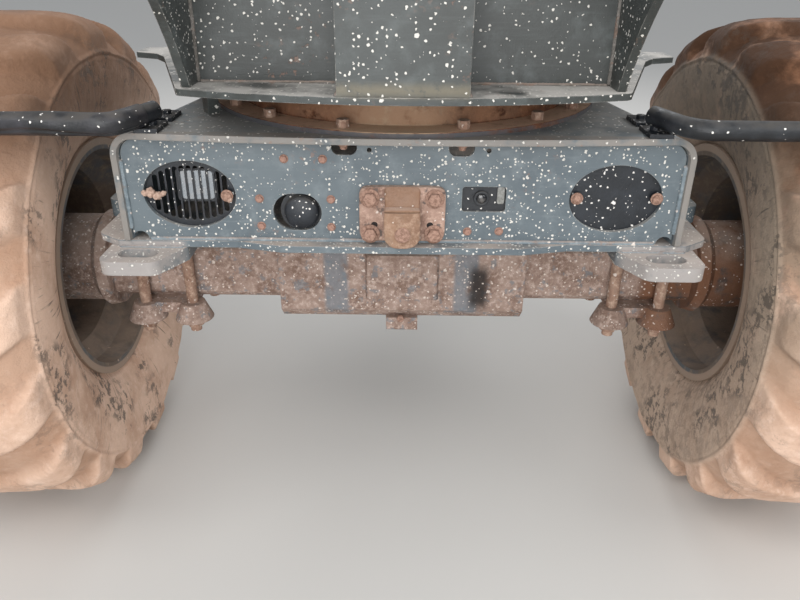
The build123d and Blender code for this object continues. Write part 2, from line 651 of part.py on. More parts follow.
# Side profile of the tongue: y, z
TONGUE_PROFILE = (
    (FACE_Y - TOW_T + 1, TOW_Z + TONGUE_TOP),
    (TONGUE_FRONT, TOW_Z + TONGUE_TOP - 6),
    (TONGUE_FRONT - 4, TOW_Z + 8),
    (TONGUE_FRONT - 22, TOW_Z - TONGUE_LOW + 4),
    (TONGUE_FRONT - 22 + TONGUE_T, TOW_Z - TONGUE_LOW),
    (FACE_Y - TOW_T + 1, TOW_Z - 4),
)
with BuildPart() as tow_bracket:
    with BuildSketch(seen_from_left(-TONGUE_W / 2)):
        with BuildLine():
            Polyline(TONGUE_PROFILE, close=True)
        make_face()
    extrude(amount=TONGUE_W)
    with BuildSketch(facing(FACE_Y)):
        with Locations((0, TOW_Z + (TONGUE_TOP - TONGUE_LOW) / 2)):
            RectangleRounded(TONGUE_W, TONGUE_TOP + TONGUE_LOW, TONGUE_R)
    extrude(amount=TONGUE_REACH, mode=Mode.INTERSECT)
    with BuildSketch(facing(FACE_Y)):
        with Locations((0, TOW_Z)):
            RectangleRounded(TOW_W, TOW_H, TOW_R)
    extrude(amount=TOW_T)
    with BuildSketch(facing(FACE_Y - TOW_T)):
        with Locations([(x, z) for x in (-TOW_BOLT_X, TOW_BOLT_X) for z in TOW_BOLT_ZS]):
            RegularPolygon(TOW_HEAD_R, 6)
    extrude(amount=TOW_HEAD_H)
save(tow_bracket, "tow_bracket")

# Lamp arms: bent tubes from a bracket on each front corner, out in front of the tyres
TUBE_R, TUBE_WALL, TUBE_BEND_R = 18.0, 3.0, 70.0
# Middle line of the left arm: x, distance ahead of the axle, z
ARM_LINE = ((HOOD_SIDE - 83, 363, DECK_Z + 32), (HOOD_SIDE - 34, 452, DECK_Z + 26), (1150, 452, DECK_Z + 26))
ARM_AHEAD, ARM_Z = ARM_LINE[-1][1:]
TAB_T = 8.0
TAB_BOLT_X, TAB_BOLT_R, TAB_BOLT_H = HOOD_SIDE - 79.0, 9.0, 8.0
TAB_X, STRAP_X = HOOD_SIDE - 77.0, HOOD_SIDE - 62.0
# Two tabs bolted to the deck and the strap that joins them: x, distance ahead, width, depth
TABS = ((TAB_X, 375, 40, 70), (TAB_X, 285, 40, 70), (STRAP_X, 330, 18, 160))
RIB_T, RIB_BACK, RIB_FRONT = 8.0, 345.0, 408.0
LAMP_BOX_X, LAMP_BOX_W, LAMP_BOX_D, LAMP_BOX_H = 1095.0, 104.0, 58.0, 92.0

for side, end in ((1, "left"), (-1, "right")):
    with BuildPart() as lamp_arm:
        with BuildLine() as arm_path:
            FilletPolyline([(side * x, fore(d), z) for x, d, z in ARM_LINE], radius=TUBE_BEND_R)
        with BuildSketch(Plane(arm_path.line @ 0, z_dir=arm_path.line % 0)):
            Circle(TUBE_R)
            Circle(TUBE_R - TUBE_WALL, mode=Mode.SUBTRACT)
        sweep()
    save(lamp_arm, f"lamp_arm_{end}")

    with BuildPart() as arm_bracket:
        with BuildSketch(Plane.XY.offset(DECK_Z)):
            for x, ahead, wide, deep in TABS:
                with Locations((side * x, fore(ahead))):
                    Rectangle(wide, deep)
        extrude(amount=TAB_T)
        with BuildSketch(Plane.XY.offset(DECK_Z + TAB_T)):
            with Locations([(side * TAB_BOLT_X, fore(ahead)) for ahead in (TABS[0][1], TABS[1][1])]):
                RegularPolygon(TAB_BOLT_R, 6)
        extrude(amount=TAB_BOLT_H)
        with BuildSketch(Plane.XY.offset(DECK_Z + TAB_T)):
            with Locations((side * (STRAP_X + 5), fore((RIB_BACK + RIB_FRONT) / 2))):
                Rectangle(RIB_T, RIB_FRONT - RIB_BACK)
        extrude(amount=ARM_LINE[0][2] - DECK_Z - TAB_T)
        with BuildSketch(Plane(arm_path.line @ 0, z_dir=arm_path.line % 0)):
            Circle(TUBE_R + RUN_GAP)
        sweep(path=arm_path.line, mode=Mode.SUBTRACT)
    save(arm_bracket, f"arm_bracket_{end}")

    with BuildPart() as marker_lamp:
        with BuildSketch(Plane.XY.offset(ARM_Z + TUBE_R + RUN_GAP)):
            with Locations((side * LAMP_BOX_X, fore(ARM_AHEAD))):
                RectangleRounded(LAMP_BOX_W, LAMP_BOX_D, 10)
        extrude(amount=LAMP_BOX_H)
    save(marker_lamp, f"marker_lamp_{end}")

# Wheels, drawn on the driver's left and mirrored
WHEEL_X = TRACK / 2
TYRE_R = TYRE_D / 2
LUG_N = 17
LUG_TURN = -6.0
LUG_FOOT_R = 440.0
RING_SIDES = 52
SEAT_R = RIM_BEAD_D / 2
HUB_R, HUB_FLANGE_R, HUB_FLANGE_X, HUB_FLANGE_T = 104.0, 190.0, 1012.0, 18.0
HUB_BORE_R = SPINDLE_R + 0.08
NUT_PCD, NUT_N, NUT_HEAD_R, NUT_HEAD_H = 335.0, 10, 17.0, 22.0
WHEEL_STUD_R, DISC_HOLE_R = 11.0, 12.0
DISC_T = 12.0
FLANGE_X, FLANGE_EDGE_X = RIM_W / 2 - 7, RIM_W / 2 + 3
BEAD_X, BEAD_R = FLANGE_X - 0.5, 306.0
spin_plane = Plane((WHEEL_X, AXLE_Y, AXLE_Z), x_dir=(1, 0, 0), z_dir=(0, -1, 0))

# Carcass and lug tips as many-sided rings: across from the wheel's middle, radius
CARCASS = ((0, TYRE_R - 30), (185, TYRE_R - 34), (243, 505), (TYRE_W / 2 - 1, LUG_FOOT_R), (BEAD_X, BEAD_R))
LUG_TIPS = ((0, TYRE_R), (212, TYRE_R - 12), (TYRE_W / 2, 520), (TYRE_W / 2, 450))
# One lug seen on the tread: across from the middle, along the tread
LUG_PLAN = ((6, -40), (6, 40), (130, 90), (262, 190), (262, 80), (150, 0))
# Room for the rim inside the tyre: across from the middle, radius
WHEEL_SPACE = (
    (BEAD_X, SEAT_R + RUN_GAP),
    (BEAD_X, BEAD_R),
    (BEAD_X + 4.5, BEAD_R + 1),
    (BEAD_X + 4.5, 0),
)


def both_sides(half):
    """A half outline, from the middle outwards, with its mirror image before it."""
    return [(-x, r) for x, r in reversed(half)] + [(x, r) for x, r in half if x > 0]


with BuildPart() as lug_tips:
    for x, r in both_sides(LUG_TIPS):
        with BuildSketch(Plane((WHEEL_X + x, AXLE_Y, AXLE_Z), x_dir=(0, 1, 0), z_dir=(1, 0, 0))):
            RegularPolygon(r, RING_SIDES)
    loft(ruled=True)

with BuildPart() as one_lug:
    with BuildSketch(Plane((WHEEL_X, AXLE_Y, AXLE_Z + LUG_FOOT_R))):
        with BuildLine():
            Polyline(LUG_PLAN, close=True)
        make_face()
    extrude(amount=TYRE_R - LUG_FOOT_R + 10)
    add(lug_tips.part, mode=Mode.INTERSECT)

with BuildPart() as mirrored_lug:
    mirror(one_lug.part, about=Plane.YZ.offset(WHEEL_X))

LUG_STEP = 360 / LUG_N
lugs = [one_lug.part.rotate(axle_line, LUG_TURN + k * LUG_STEP) for k in range(LUG_N)]
lugs += [mirrored_lug.part.rotate(axle_line, LUG_TURN + (k + 0.5) * LUG_STEP) for k in range(LUG_N)]

with BuildPart() as tyre:
    for x, r in both_sides(CARCASS):
        with BuildSketch(Plane((WHEEL_X + x, AXLE_Y, AXLE_Z), x_dir=(0, 1, 0), z_dir=(1, 0, 0))):
            RegularPolygon(r, RING_SIDES)
    loft(ruled=True)
    add(lugs)
    with BuildSketch(spin_plane):
        with BuildLine():
            Polyline(both_sides(WHEEL_SPACE), close=True)
        make_face()
    revolve(axis=axle_line, mode=Mode.SUBTRACT)

# Rim barrel with its drop centre, and the dished disc that the hub's studs hold
RIM_OUTSIDE = ((0, 240), (104, 240), (146, 283), (FLANGE_X, SEAT_R), (FLANGE_X, 304), (FLANGE_EDGE_X, 304))
RIM_INSIDE = ((0, 231), (108, 231), (150, 273), (FLANGE_EDGE_X - 1, 276), (FLANGE_EDGE_X, 290))
DISC_X = HUB_FLANGE_X + HUB_FLANGE_T - WHEEL_X
with BuildPart() as rim:
    with BuildSketch(spin_plane):
        with BuildLine():
            Polyline(both_sides(RIM_OUTSIDE) + both_sides(RIM_INSIDE)[::-1], close=True)
        make_face()
        with BuildLine():
            Polyline(
                (DISC_X, HUB_R - 3.7),
                (DISC_X, 205),
                (DISC_X - 34, 231),
                (DISC_X - 34 + DISC_T, 240),
                (DISC_X + DISC_T, 212),
                (DISC_X + DISC_T, HUB_R - 3.7),
                close=True,
            )
        make_face()
    revolve(axis=axle_line)
    with BuildSketch(seen_from_left(WHEEL_X + DISC_X)):
        with Locations((AXLE_Y, AXLE_Z)):
            with PolarLocations(NUT_PCD / 2, NUT_N):
                Circle(DISC_HOLE_R)
    extrude(amount=DISC_T, mode=Mode.SUBTRACT)

with BuildPart() as hub:
    with BuildSketch(spin_plane):
        with BuildLine():
            Polyline(
                (BRAKE_END_X + 4 - WHEEL_X, HUB_BORE_R),
                (BRAKE_END_X + 4 - WHEEL_X, HUB_R),
                (HUB_FLANGE_X - WHEEL_X, HUB_R),
                (HUB_FLANGE_X - WHEEL_X, HUB_FLANGE_R),
                (DISC_X, HUB_FLANGE_R),
                (DISC_X, HUB_R - 4),
                (DISC_X + 70, HUB_R - 10),
                (DISC_X + 84, HUB_R - 26),
                (DISC_X + 84, 0),
                (SPINDLE_END_X + 4 - WHEEL_X, 0),
                (SPINDLE_END_X + 4 - WHEEL_X, HUB_BORE_R),
                close=True,
            )
        make_face()
    revolve(axis=axle_line)
    with BuildSketch(seen_from_left(WHEEL_X + DISC_X)):
        with Locations((AXLE_Y, AXLE_Z)):
            with PolarLocations(NUT_PCD / 2, NUT_N):
                Circle(WHEEL_STUD_R)
    extrude(amount=DISC_T + NUT_HEAD_H)
    with BuildSketch(seen_from_left(WHEEL_X + DISC_X + DISC_T)):
        with Locations((AXLE_Y, AXLE_Z)):
            with PolarLocations(NUT_PCD / 2, NUT_N):
                RegularPolygon(NUT_HEAD_R, 6)
    extrude(amount=NUT_HEAD_H)

for piece, label in ((tyre, "tyre"), (rim, "rim"), (hub, "hub")):
    save(piece, f"{label}_left")
    with BuildPart() as mirrored:
        mirror(piece.part, about=Plane.YZ)
    save(mirrored, f"{label}_right")
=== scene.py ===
import json
import math

import bpy
import numpy as np
from mathutils import Matrix, Vector


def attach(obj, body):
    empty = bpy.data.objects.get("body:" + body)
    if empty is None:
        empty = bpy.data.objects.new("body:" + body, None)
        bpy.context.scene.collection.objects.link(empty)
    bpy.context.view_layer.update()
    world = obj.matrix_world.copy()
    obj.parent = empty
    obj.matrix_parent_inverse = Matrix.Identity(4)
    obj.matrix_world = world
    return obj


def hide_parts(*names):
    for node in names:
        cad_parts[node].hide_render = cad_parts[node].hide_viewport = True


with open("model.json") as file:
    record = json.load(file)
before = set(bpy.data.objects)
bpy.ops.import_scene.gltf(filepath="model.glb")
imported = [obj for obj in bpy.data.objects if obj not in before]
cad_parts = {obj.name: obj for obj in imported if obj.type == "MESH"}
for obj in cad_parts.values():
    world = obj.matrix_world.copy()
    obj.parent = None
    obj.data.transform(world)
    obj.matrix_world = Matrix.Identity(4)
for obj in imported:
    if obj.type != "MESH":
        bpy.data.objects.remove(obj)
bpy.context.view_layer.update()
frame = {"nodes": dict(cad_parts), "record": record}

# Places in the row frame, in metres
GROUND = -0.8
AXLE_Y, AXLE_Z = -1.25, -0.2
DECK_Z, BED_Z = 0.228, 0.014
DECK_THICK = 0.012
BASE_TOP = 0.32
LEFT, RIGHT = 1, -1  # the machine's own left is at +X
FORWARD, UNDER = (0, -1, 0), (0, 0, -1)


def up(height):
    """Z of a height above the ground in millimetres."""
    return GROUND + height / 1000


def fore(ahead):
    """Y of a distance ahead of the axle in millimetres."""
    return AXLE_Y - ahead / 1000


FACE_Y = fore(394)

# Camera, worked out from the bead circles, the slew ring and the front face
CAMERA_PLACE = (0.005, -2.966, 0.559)
CAMERA_YAW, CAMERA_PITCH, CAMERA_ROLL = map(math.radians, (-0.34, 27.06, 0.53))
ahead = Vector((
    math.sin(CAMERA_YAW) * math.cos(CAMERA_PITCH),
    math.cos(CAMERA_YAW) * math.cos(CAMERA_PITCH),
    -math.sin(CAMERA_PITCH),
))
level = Vector((math.cos(CAMERA_YAW), -math.sin(CAMERA_YAW), 0))
above = level.cross(ahead)
right = level * math.cos(CAMERA_ROLL) + above * math.sin(CAMERA_ROLL)
top = above * math.cos(CAMERA_ROLL) - level * math.sin(CAMERA_ROLL)
camera_data = bpy.data.cameras.new("camera")
camera_data.sensor_width, camera_data.lens = 36, 32.35  # millimetres
camera_data.clip_start = 0.01
camera = bpy.data.objects.new("camera", camera_data)
bpy.context.collection.objects.link(camera)
camera.matrix_world = Matrix((
    (right.x, top.x, -ahead.x, CAMERA_PLACE[0]),
    (right.y, top.y, -ahead.y, CAMERA_PLACE[1]),
    (right.z, top.z, -ahead.z, CAMERA_PLACE[2]),
    (0, 0, 0, 1),
))
bpy.context.scene.camera = camera
bpy.context.scene.view_settings.view_transform = "Standard"


# Materials

def srgb(code):
    """A hex sRGB colour as linear red, green, blue and alpha."""
    channels = [int(code[i:i + 2], 16) / 255 for i in (0, 2, 4)]
    return [c / 12.92 if c <= 0.04045 else ((c + 0.055) / 1.055) ** 2.4 for c in channels] + [1.0]


def node(material, kind, inputs=None, out=0, **settings):
    """Add a node with its settings and inputs and return one of its outputs, if it has any. An input is a value,
    a hex colour or another node's output."""
    made = material.node_tree.nodes.new("ShaderNode" + kind)
    for name, value in settings.items():
        setattr(made, name, value)
    for name, value in (inputs or {}).items():
        if isinstance(value, bpy.types.NodeSocket):
            material.node_tree.links.new(value, made.inputs[name])
        else:
            made.inputs[name].default_value = srgb(value) if isinstance(value, str) else value
    return made.outputs[out] if made.outputs else None


def new_material(name, edge_mm):
    """A node material, the place on its piece, and a normal that turns softly round edges over edge_mm, as on cut,
    cast and moulded pieces."""
    material = bpy.data.materials.new(name)
    material.use_nodes = True
    material.node_tree.nodes.clear()
    place = node(material, "TexCoord", out="Object")
    return material, place, node(material, "Bevel", {"Radius": edge_mm / 1000}, samples=4)


def blotches(material, place, size_mm, low, high, detail=5.0, rough=0.62):
    """Mask of soft blotches about size_mm across: a noise, 0 where it is below low and 1 above high."""
    cloud = node(material, "TexNoise", {
        "Vector": place, "Scale": 1000 / size_mm, "Detail": detail, "Roughness": rough})
    return node(material, "MapRange", {"Value": cloud, "From Min": low, "From Max": high},
                interpolation_type="SMOOTHSTEP")


def cover(material, under, over, mask, strength=1.0):
    """One colour laid over another, as thickly as the mask times the strength."""
    share = node(material, "Math", {0: mask, 1: strength}, operation="MULTIPLY")
    return node(material, "Mix", {"Factor": share, 6: under, 7: over}, out=2, data_type="RGBA")


def relief(material, *layers):
    """Height in millimetres: the sum of fields, each times its own depth."""
    total = 0.0
    for field, depth in layers:
        total = node(material, "Math", {0: field, 1: depth, 2: total}, operation="MULTIPLY_ADD")
    return total


# Splashes: waves of the rim and how far they bend it, how much rarer large ones are, and how they crowd in areas
SPLASH_RIM_MM, SPLASH_BEND, SPLASH_FALL = 5, 1.1, 1.8
CROWD_MM, CROWD_GAIN = 160, 0.35


def spatter(material, place, pitch_mm, largest_mm, share):
    """Mask of splashes of dried concrete: in some cells of pitch_mm there is one, most of them small and a few up to
    largest_mm across, and a noise bends its rim. They lie thicker in some areas about CROWD_MM across."""
    wobble = node(material, "TexNoise", {"Vector": place, "Scale": 1000 / SPLASH_RIM_MM, "Detail": 3.0}, out="Color")
    bend = largest_mm / 1000 * SPLASH_BEND
    bent = node(material, "VectorMath", {0: wobble, 1: (bend, bend, bend), 2: place}, operation="MULTIPLY_ADD")
    away = node(material, "TexVoronoi", {"Vector": bent, "Scale": 1000 / pitch_mm}, out="Distance")
    luck = node(material, "SeparateColor", {"Color": away.node.outputs["Color"]})
    crowd = blotches(material, place, CROWD_MM, 0.25, 0.75, 3)
    luck = node(material, "Math", {0: crowd, 1: CROWD_GAIN * share, 2: luck}, operation="MULTIPLY_ADD")
    size = node(material, "MapRange", {"Value": luck, "From Min": 1 - share, "From Max": 1.0})
    size = node(material, "Math", {0: size, 1: SPLASH_FALL}, operation="POWER")
    size = node(material, "Math", {0: size, 1: largest_mm / pitch_mm / 2}, operation="MULTIPLY")
    inside = node(material, "Math", {0: size, 1: away}, operation="SUBTRACT")
    return node(material, "MapRange", {"Value": inside, "From Max": 0.02}, interpolation_type="SMOOTHSTEP")


# Upward shares of the normal between which dust begins to lie
SLOPE, LEVEL = 0.2, 0.85


def settled(material, place, size_mm, low, high):
    """Mask of dust that has settled: surfaces that face up, broken by blotches about size_mm across."""
    facing = node(material, "SeparateXYZ", {"Vector": node(material, "NewGeometry", out="Normal")}, out="Z")
    flat = node(material, "MapRange", {"Value": facing, "From Min": SLOPE, "From Max": LEVEL},
                interpolation_type="SMOOTHSTEP")
    return node(material, "Math", {0: flat, 1: blotches(material, place, size_mm, low, high)}, operation="MULTIPLY")


# Cosines of the turn between the two normals at which an edge's wear starts and is full
EDGE_STARTS, EDGE_FULL = 0.995, 0.90


def worn_edges(material, place, soft):
    """Mask of edges, where the softly rounded normal leaves the flat one, broken up by blotches."""
    flat = node(material, "NewGeometry", out="Normal")
    along = node(material, "VectorMath", {0: soft, 1: flat}, out="Value", operation="DOT_PRODUCT")
    turned_away = node(material, "MapRange", {"Value": along, "From Min": EDGE_STARTS, "From Max": EDGE_FULL})
    return node(material, "Math", {0: turned_away, 1: blotches(material, place, 30, 0.35, 0.65)},
                operation="MULTIPLY")


def band(material, place, axis, low, high, soft):
    """Mask between low and high metres along an axis of the piece, with edges soft metres wide."""
    along = node(material, "SeparateXYZ", {"Vector": place}, out=axis)
    rise = node(material, "MapRange", {"Value": along, "From Min": low - soft, "From Max": low + soft},
                interpolation_type="SMOOTHSTEP")
    fall = node(material, "MapRange", {"Value": along, "From Min": high + soft, "From Max": high - soft},
                interpolation_type="SMOOTHSTEP")
    return node(material, "Math", {0: rise, 1: fall}, operation="MULTIPLY")


def both_spatters(material, place, fine, coarse):
    """Mask of fine and coarse splashes together, each given as its pitch, largest size and share."""
    small, large = spatter(material, place, *fine), spatter(material, place, *coarse)
    return node(material, "Math", {0: small, 1: large}, operation="MAXIMUM")


def marked(material, place, under, marks):
    """A colour with marks laid over it. Each is a tone, a strength, the size in millimetres of the blotches that
    break it up, and its low end, high end and softness in metres along each axis it is bounded on."""
    for tone, strength, size_mm, bands in marks:
        mask = blotches(material, place, size_mm, 0.28, 0.50, 6)
        for axis, ends in bands.items():
            mask = node(material, "Math", {0: mask, 1: band(material, place, axis, *ends)}, operation="MULTIPLY")
        under = cover(material, under, tone, mask, strength)
    return under


def finish(material, colour, rough, height, soft, **shader):
    """Principled shader with a bump in real millimetres on the softly rounded normal."""
    bump = node(material, "Bump", {"Height": height, "Distance": 0.001, "Normal": soft})
    inputs = {"Base Color": colour, "Roughness": rough, "Normal": bump}
    inputs.update(shader)
    node(material, "OutputMaterial", {"Surface": node(material, "BsdfPrincipled", inputs)})
    return material


def chassis_enamel(name, tones, dust, dust_share, rust_share, fine, coarse, marks=()):
    """Brushed enamel on hot-rolled plate: half gloss where it is clean, matt with dust on top faces, rubbed pale at
    its edges, with rust freckles and splashes of pale concrete. tones are its dark, middle and light colours."""
    material, place, soft = new_material(name, 2.5)
    paint = cover(material, tones[0], tones[1], blotches(material, place, 260, 0.35, 0.66))
    paint = cover(material, paint, tones[2], blotches(material, place, 38, 0.46, 0.80))
    # Wiped streaks run across the machine and are about 7 mm wide
    wiped = node(material, "Mapping", {"Vector": place, "Scale": (0.08, 1.0, 1.0)})
    paint = cover(material, paint, tones[2], blotches(material, wiped, 7, 0.52, 0.8, 3), 0.45)
    paint = cover(material, paint, "a9a6a0", worn_edges(material, place, soft), 0.75)
    dusty = settled(material, place, 90, 0.28, 0.60)
    paint = cover(material, paint, dust, dusty, dust_share)
    paint = marked(material, place, paint, marks)
    fields = blotches(material, place, 150, 0.50, 0.66, 2)
    freckles = node(material, "Math", {0: blotches(material, place, 13, 0.58, 0.66), 1: fields},
                    operation="MULTIPLY")
    paint = cover(material, paint, "8f6c5a", freckles, rust_share)
    spots = both_spatters(material, place, fine, coarse)
    colour = cover(material, paint, "dcd8d0", spots, 0.92)
    matt = node(material, "Math", {0: dusty, 1: spots}, operation="MAXIMUM")
    rough = node(material, "MapRange", {"Value": matt, "To Min": 0.42, "To Max": 0.9})
    height = relief(material, (blotches(material, place, 3, 0.3, 0.7, 3), 0.10), (spots, 0.9),
                    (freckles, -0.3), (blotches(material, place, 150, 0.2, 0.8, 2), 0.8))
    return finish(material, colour, rough, height, soft)


def rusty_iron(name, tones, patches, patch_share, specks, marks=()):
    """Rusted casting or steel: no gloss, brown with a pale bloom and dark scale, old paint left in patches, and a
    coarse sand-cast grain. tones are its dark, middle and light colours, specks its share of pale splashes."""
    material, place, soft = new_material(name, 3.0)
    rust = cover(material, tones[0], tones[1], blotches(material, place, 60, 0.33, 0.62, 6))
    rust = cover(material, rust, tones[2], blotches(material, place, 12, 0.44, 0.72, 6, 0.7))
    rust = cover(material, rust, patches, blotches(material, place, 26, 0.56, 0.62, 6, 0.7), patch_share)
    rust = marked(material, place, rust, marks)
    rust = cover(material, rust, "ab9688", settled(material, place, 40, 0.2, 0.6), 0.6)
    spots = both_spatters(material, place, (7.5, 5.0, specks), (22, 9, specks))
    colour = cover(material, rust, "e0d3c9", spots, 0.9)
    height = relief(material, (blotches(material, place, 5, 0.3, 0.7, 5, 0.7), 0.7), (spots, 0.6),
                    (blotches(material, place, 28, 0.2, 0.8, 3), 1.4))
    return finish(material, colour, 0.88, height, soft)


def black_enamel(name, base, worn, specks, gloss=0.42):
    """Satin black enamel or moulded black plastic: dusty on top, scuffed grey, with a few splashes."""
    material, place, soft = new_material(name, 1.5)
    black = cover(material, base, worn, blotches(material, place, 50, 0.4, 0.72))
    dusty = settled(material, place, 45, 0.3, 0.66)
    black = cover(material, black, "7d766e", dusty, 0.3)
    black = cover(material, black, "6e6a66", worn_edges(material, place, soft), 0.5)
    spots = both_spatters(material, place, (6.5, 4.4, specks), (26, 9, 0.7 * specks))
    colour = cover(material, black, "e2ded8", spots)
    grain = blotches(material, place, 4, 0.3, 0.7, 4)
    rough = node(material, "MapRange", {"Value": dusty, "To Min": gloss, "To Max": 0.9})
    return finish(material, colour, rough, relief(material, (grain, 0.18), (spots, 0.8)), soft)


def clay_rubber():
    """Moulded tyre rubber caked with dried clay: chalky and matt on its sides, with dark rubber showing in crackled
    patches and in scratches that run from bead to tread, and damp brown clay on the tread's top. The tyre's own
    attributes give the pattern its way: 'round' is the cosine and sine of the turn and the way along the profile
    from the bead in metres, 'lug' is 1 on a lug, and 'side' is 1 on the flat sidewall."""
    material, place, soft = new_material("clay-caked tyre rubber", 2.0)
    way = node(material, "Attribute", out="Vector", attribute_name="round")
    lug = node(material, "Attribute", out="Fac", attribute_name="lug")
    side = node(material, "Attribute", out="Fac", attribute_name="side")
    clay = cover(material, "bd9a83", "d8b8a2", blotches(material, place, 130, 0.32, 0.62, 6))
    clay = cover(material, clay, "e8cdbb", blotches(material, place, 24, 0.48, 0.76, 6, 0.7), 0.5)
    # The grooves between the lugs, off the flat sidewall, are darkened: painted shade
    groove_shade = node(material, "Math", {0: 1.0, 1: lug}, operation="SUBTRACT")
    groove_shade = node(material, "Math", {0: groove_shade, 1: side}, operation="SUBTRACT", use_clamp=True)
    clay = cover(material, clay, "9a755b", groove_shade, 0.55)
    # Damp brown clay on top of both tyres, darker on the left one, and greyer clay on the front of the left one
    clay = marked(material, place, clay, (
        ("8d6d57", 0.75, 400, {"X": (-1.3, 0.0, 0.01), "Z": (0.20, 1.0, 0.12)}),
        ("74492b", 0.85, 400, {"X": (0.0, 1.3, 0.01), "Z": (0.12, 1.0, 0.14)}),
        ("7b5a43", 0.75, 110, {"X": (-1.3, 0.0, 0.01), "Z": (0.16, 1.0, 0.12)}),
        ("402612", 0.95, 110, {"X": (0.0, 1.3, 0.01), "Z": (0.10, 1.0, 0.16)}),
        ("8b7967", 0.75, 90, {"X": (0.0, 1.3, 0.01), "Y": (-2.2, -1.55, 0.15), "Z": (-0.2, 0.2, 0.15)}),
    ))
    # The left tyre's flat sidewall is rubbed greyer
    rubbed = node(material, "Math", {0: band(material, place, "X", 0.0, 1.3, 0.01), 1: side}, operation="MULTIPLY")
    clay = cover(material, clay, "9c9080", rubbed, 0.5)
    # Rubber shows in crackled patches that keep to areas 170 mm wide, most of them on the sidewall
    areas = blotches(material, place, 170, 0.46, 0.62, 2)
    areas = node(material, "Math", {0: rubbed, 1: 0.3, 2: areas}, operation="MULTIPLY_ADD", use_clamp=True)
    flank = node(material, "MapRange", {"Value": side, "To Min": 0.35, "To Max": 1.0})
    areas = node(material, "Math", {0: areas, 1: flank}, operation="MULTIPLY")
    crackle = blotches(material, place, 26, 0.50, 0.56, 8, 0.72)
    patches = node(material, "Math", {0: areas, 1: crackle}, operation="MULTIPLY")
    # Scratches 7 mm apart and about 120 mm long follow the profile, so their noise is stretched along it
    radial = node(material, "Mapping", {"Vector": way, "Scale": (0.46, 0.46, 0.06)})
    scratches = blotches(material, radial, 7, 0.60, 0.68, 4, 0.6)
    low = node(material, "Math", {
        0: blotches(material, place, 120, 0.44, 0.60, 2), 1: side}, operation="MULTIPLY")
    scratches = node(material, "Math", {0: scratches, 1: low}, operation="MULTIPLY")
    bare = node(material, "Math", {0: patches, 1: scratches}, operation="MAXIMUM")
    colour = cover(material, clay, "4f4740", bare, 0.78)
    rough = node(material, "MapRange", {"Value": bare, "To Min": 0.95, "To Max": 0.72})
    height = relief(material, (bare, -0.8), (blotches(material, place, 22, 0.2, 0.8, 6, 0.7), 1.8),
                    (blotches(material, radial, 9, 0.3, 0.7, 4), 0.5))
    return finish(material, colour, rough, height, soft)


# Radii in metres between which the rim's bead flange starts
FLANGE_R = (0.285, 0.288)


def wheel_enamel():
    """Sprayed enamel on a pressed rim under a film of clay: grey where it shows, brown where clay has dried on,
    and clay-coloured on the bead flange."""
    material, place, soft = new_material("clay-filmed wheel enamel", 2.0)
    colour = cover(material, "54575a", "66584d", blotches(material, place, 140, 0.36, 0.6))
    colour = cover(material, colour, "80705f", blotches(material, place, 26, 0.46, 0.72, 6, 0.7))
    colour = cover(material, colour, "9a8675", settled(material, place, 60, 0.2, 0.6), 0.7)
    from_axle = node(material, "VectorMath", {0: place, 1: (0.0, AXLE_Y, AXLE_Z)}, operation="SUBTRACT")
    radius = node(material, "VectorMath", {0: from_axle, 1: (0.0, 1.0, 1.0)}, operation="MULTIPLY")
    radius = node(material, "VectorMath", {0: radius}, out="Value", operation="LENGTH")
    flange = node(material, "MapRange", {"Value": radius, "From Min": FLANGE_R[0], "From Max": FLANGE_R[1]})
    colour = cover(material, colour, "9c8776", flange, 0.9)
    spots = spatter(material, place, 26, 8, 0.25)
    colour = cover(material, colour, "b09a88", spots)
    height = relief(material, (blotches(material, place, 6, 0.3, 0.7, 4), 0.4), (spots, 0.6))
    return finish(material, colour, 0.82, height, soft)


def ring_rust():
    """Machined ring steel gone to dark oily rust, with pale clay dried on its front and a dark grey band at its foot.
    """
    material, place, soft = new_material("oily rusted ring steel", 1.5)
    rust = cover(material, "3f1e0c", "6e4023", blotches(material, place, 60, 0.35, 0.65, 6))
    rust = cover(material, rust, "966a49", blotches(material, place, 10, 0.50, 0.74, 6, 0.7))
    # Pale dust on faces that look up, made paler than the dust alone: partly dust, partly painted light on the flange
    # top
    rust = cover(material, rust, "d2ae93", settled(material, place, 30, 0.15, 0.5), 0.9)
    front = (-2.0, AXLE_Y, 0.01)  # the half ahead of the axle
    rust = marked(material, place, rust, (
        ("b59b80", 0.9, 34, {"X": (-0.10, 0.08, 0.05), "Y": front, "Z": (0.235, 0.30, 0.006)}),
        ("a0785c", 0.6, 24, {"X": (-0.25, 0.25, 0.1), "Y": front, "Z": (0.24, 0.30, 0.002)}),
        ("4d5257", 0.85, 90, {"Z": (0.22, 0.2365, 0.0006)}),
    ))
    height = relief(material, (blotches(material, place, 6, 0.3, 0.7, 5, 0.7), 0.6),
                    (blotches(material, place, 34, 0.28, 0.5, 6), 1.2))
    return finish(material, rust, 0.8, height, soft)


def small_metal(name, tones, rough=0.75, metal=0.0):
    """Zinc-plated or rusted fastener: one tone broken by grime about 5 mm across, with a fine pitted grain."""
    material, place, soft = new_material(name, 0.8)
    colour = cover(material, tones[0], tones[1], blotches(material, place, 5, 0.38, 0.66, 5, 0.7))
    height = relief(material, (blotches(material, place, 2.5, 0.3, 0.7, 3), 0.35))
    return finish(material, colour, rough, height, soft, Metallic=metal)


# Distance in millimetres between the bands of a wave texture of scale 1: 2 pi / 20 metres
WAVE_MM = 314


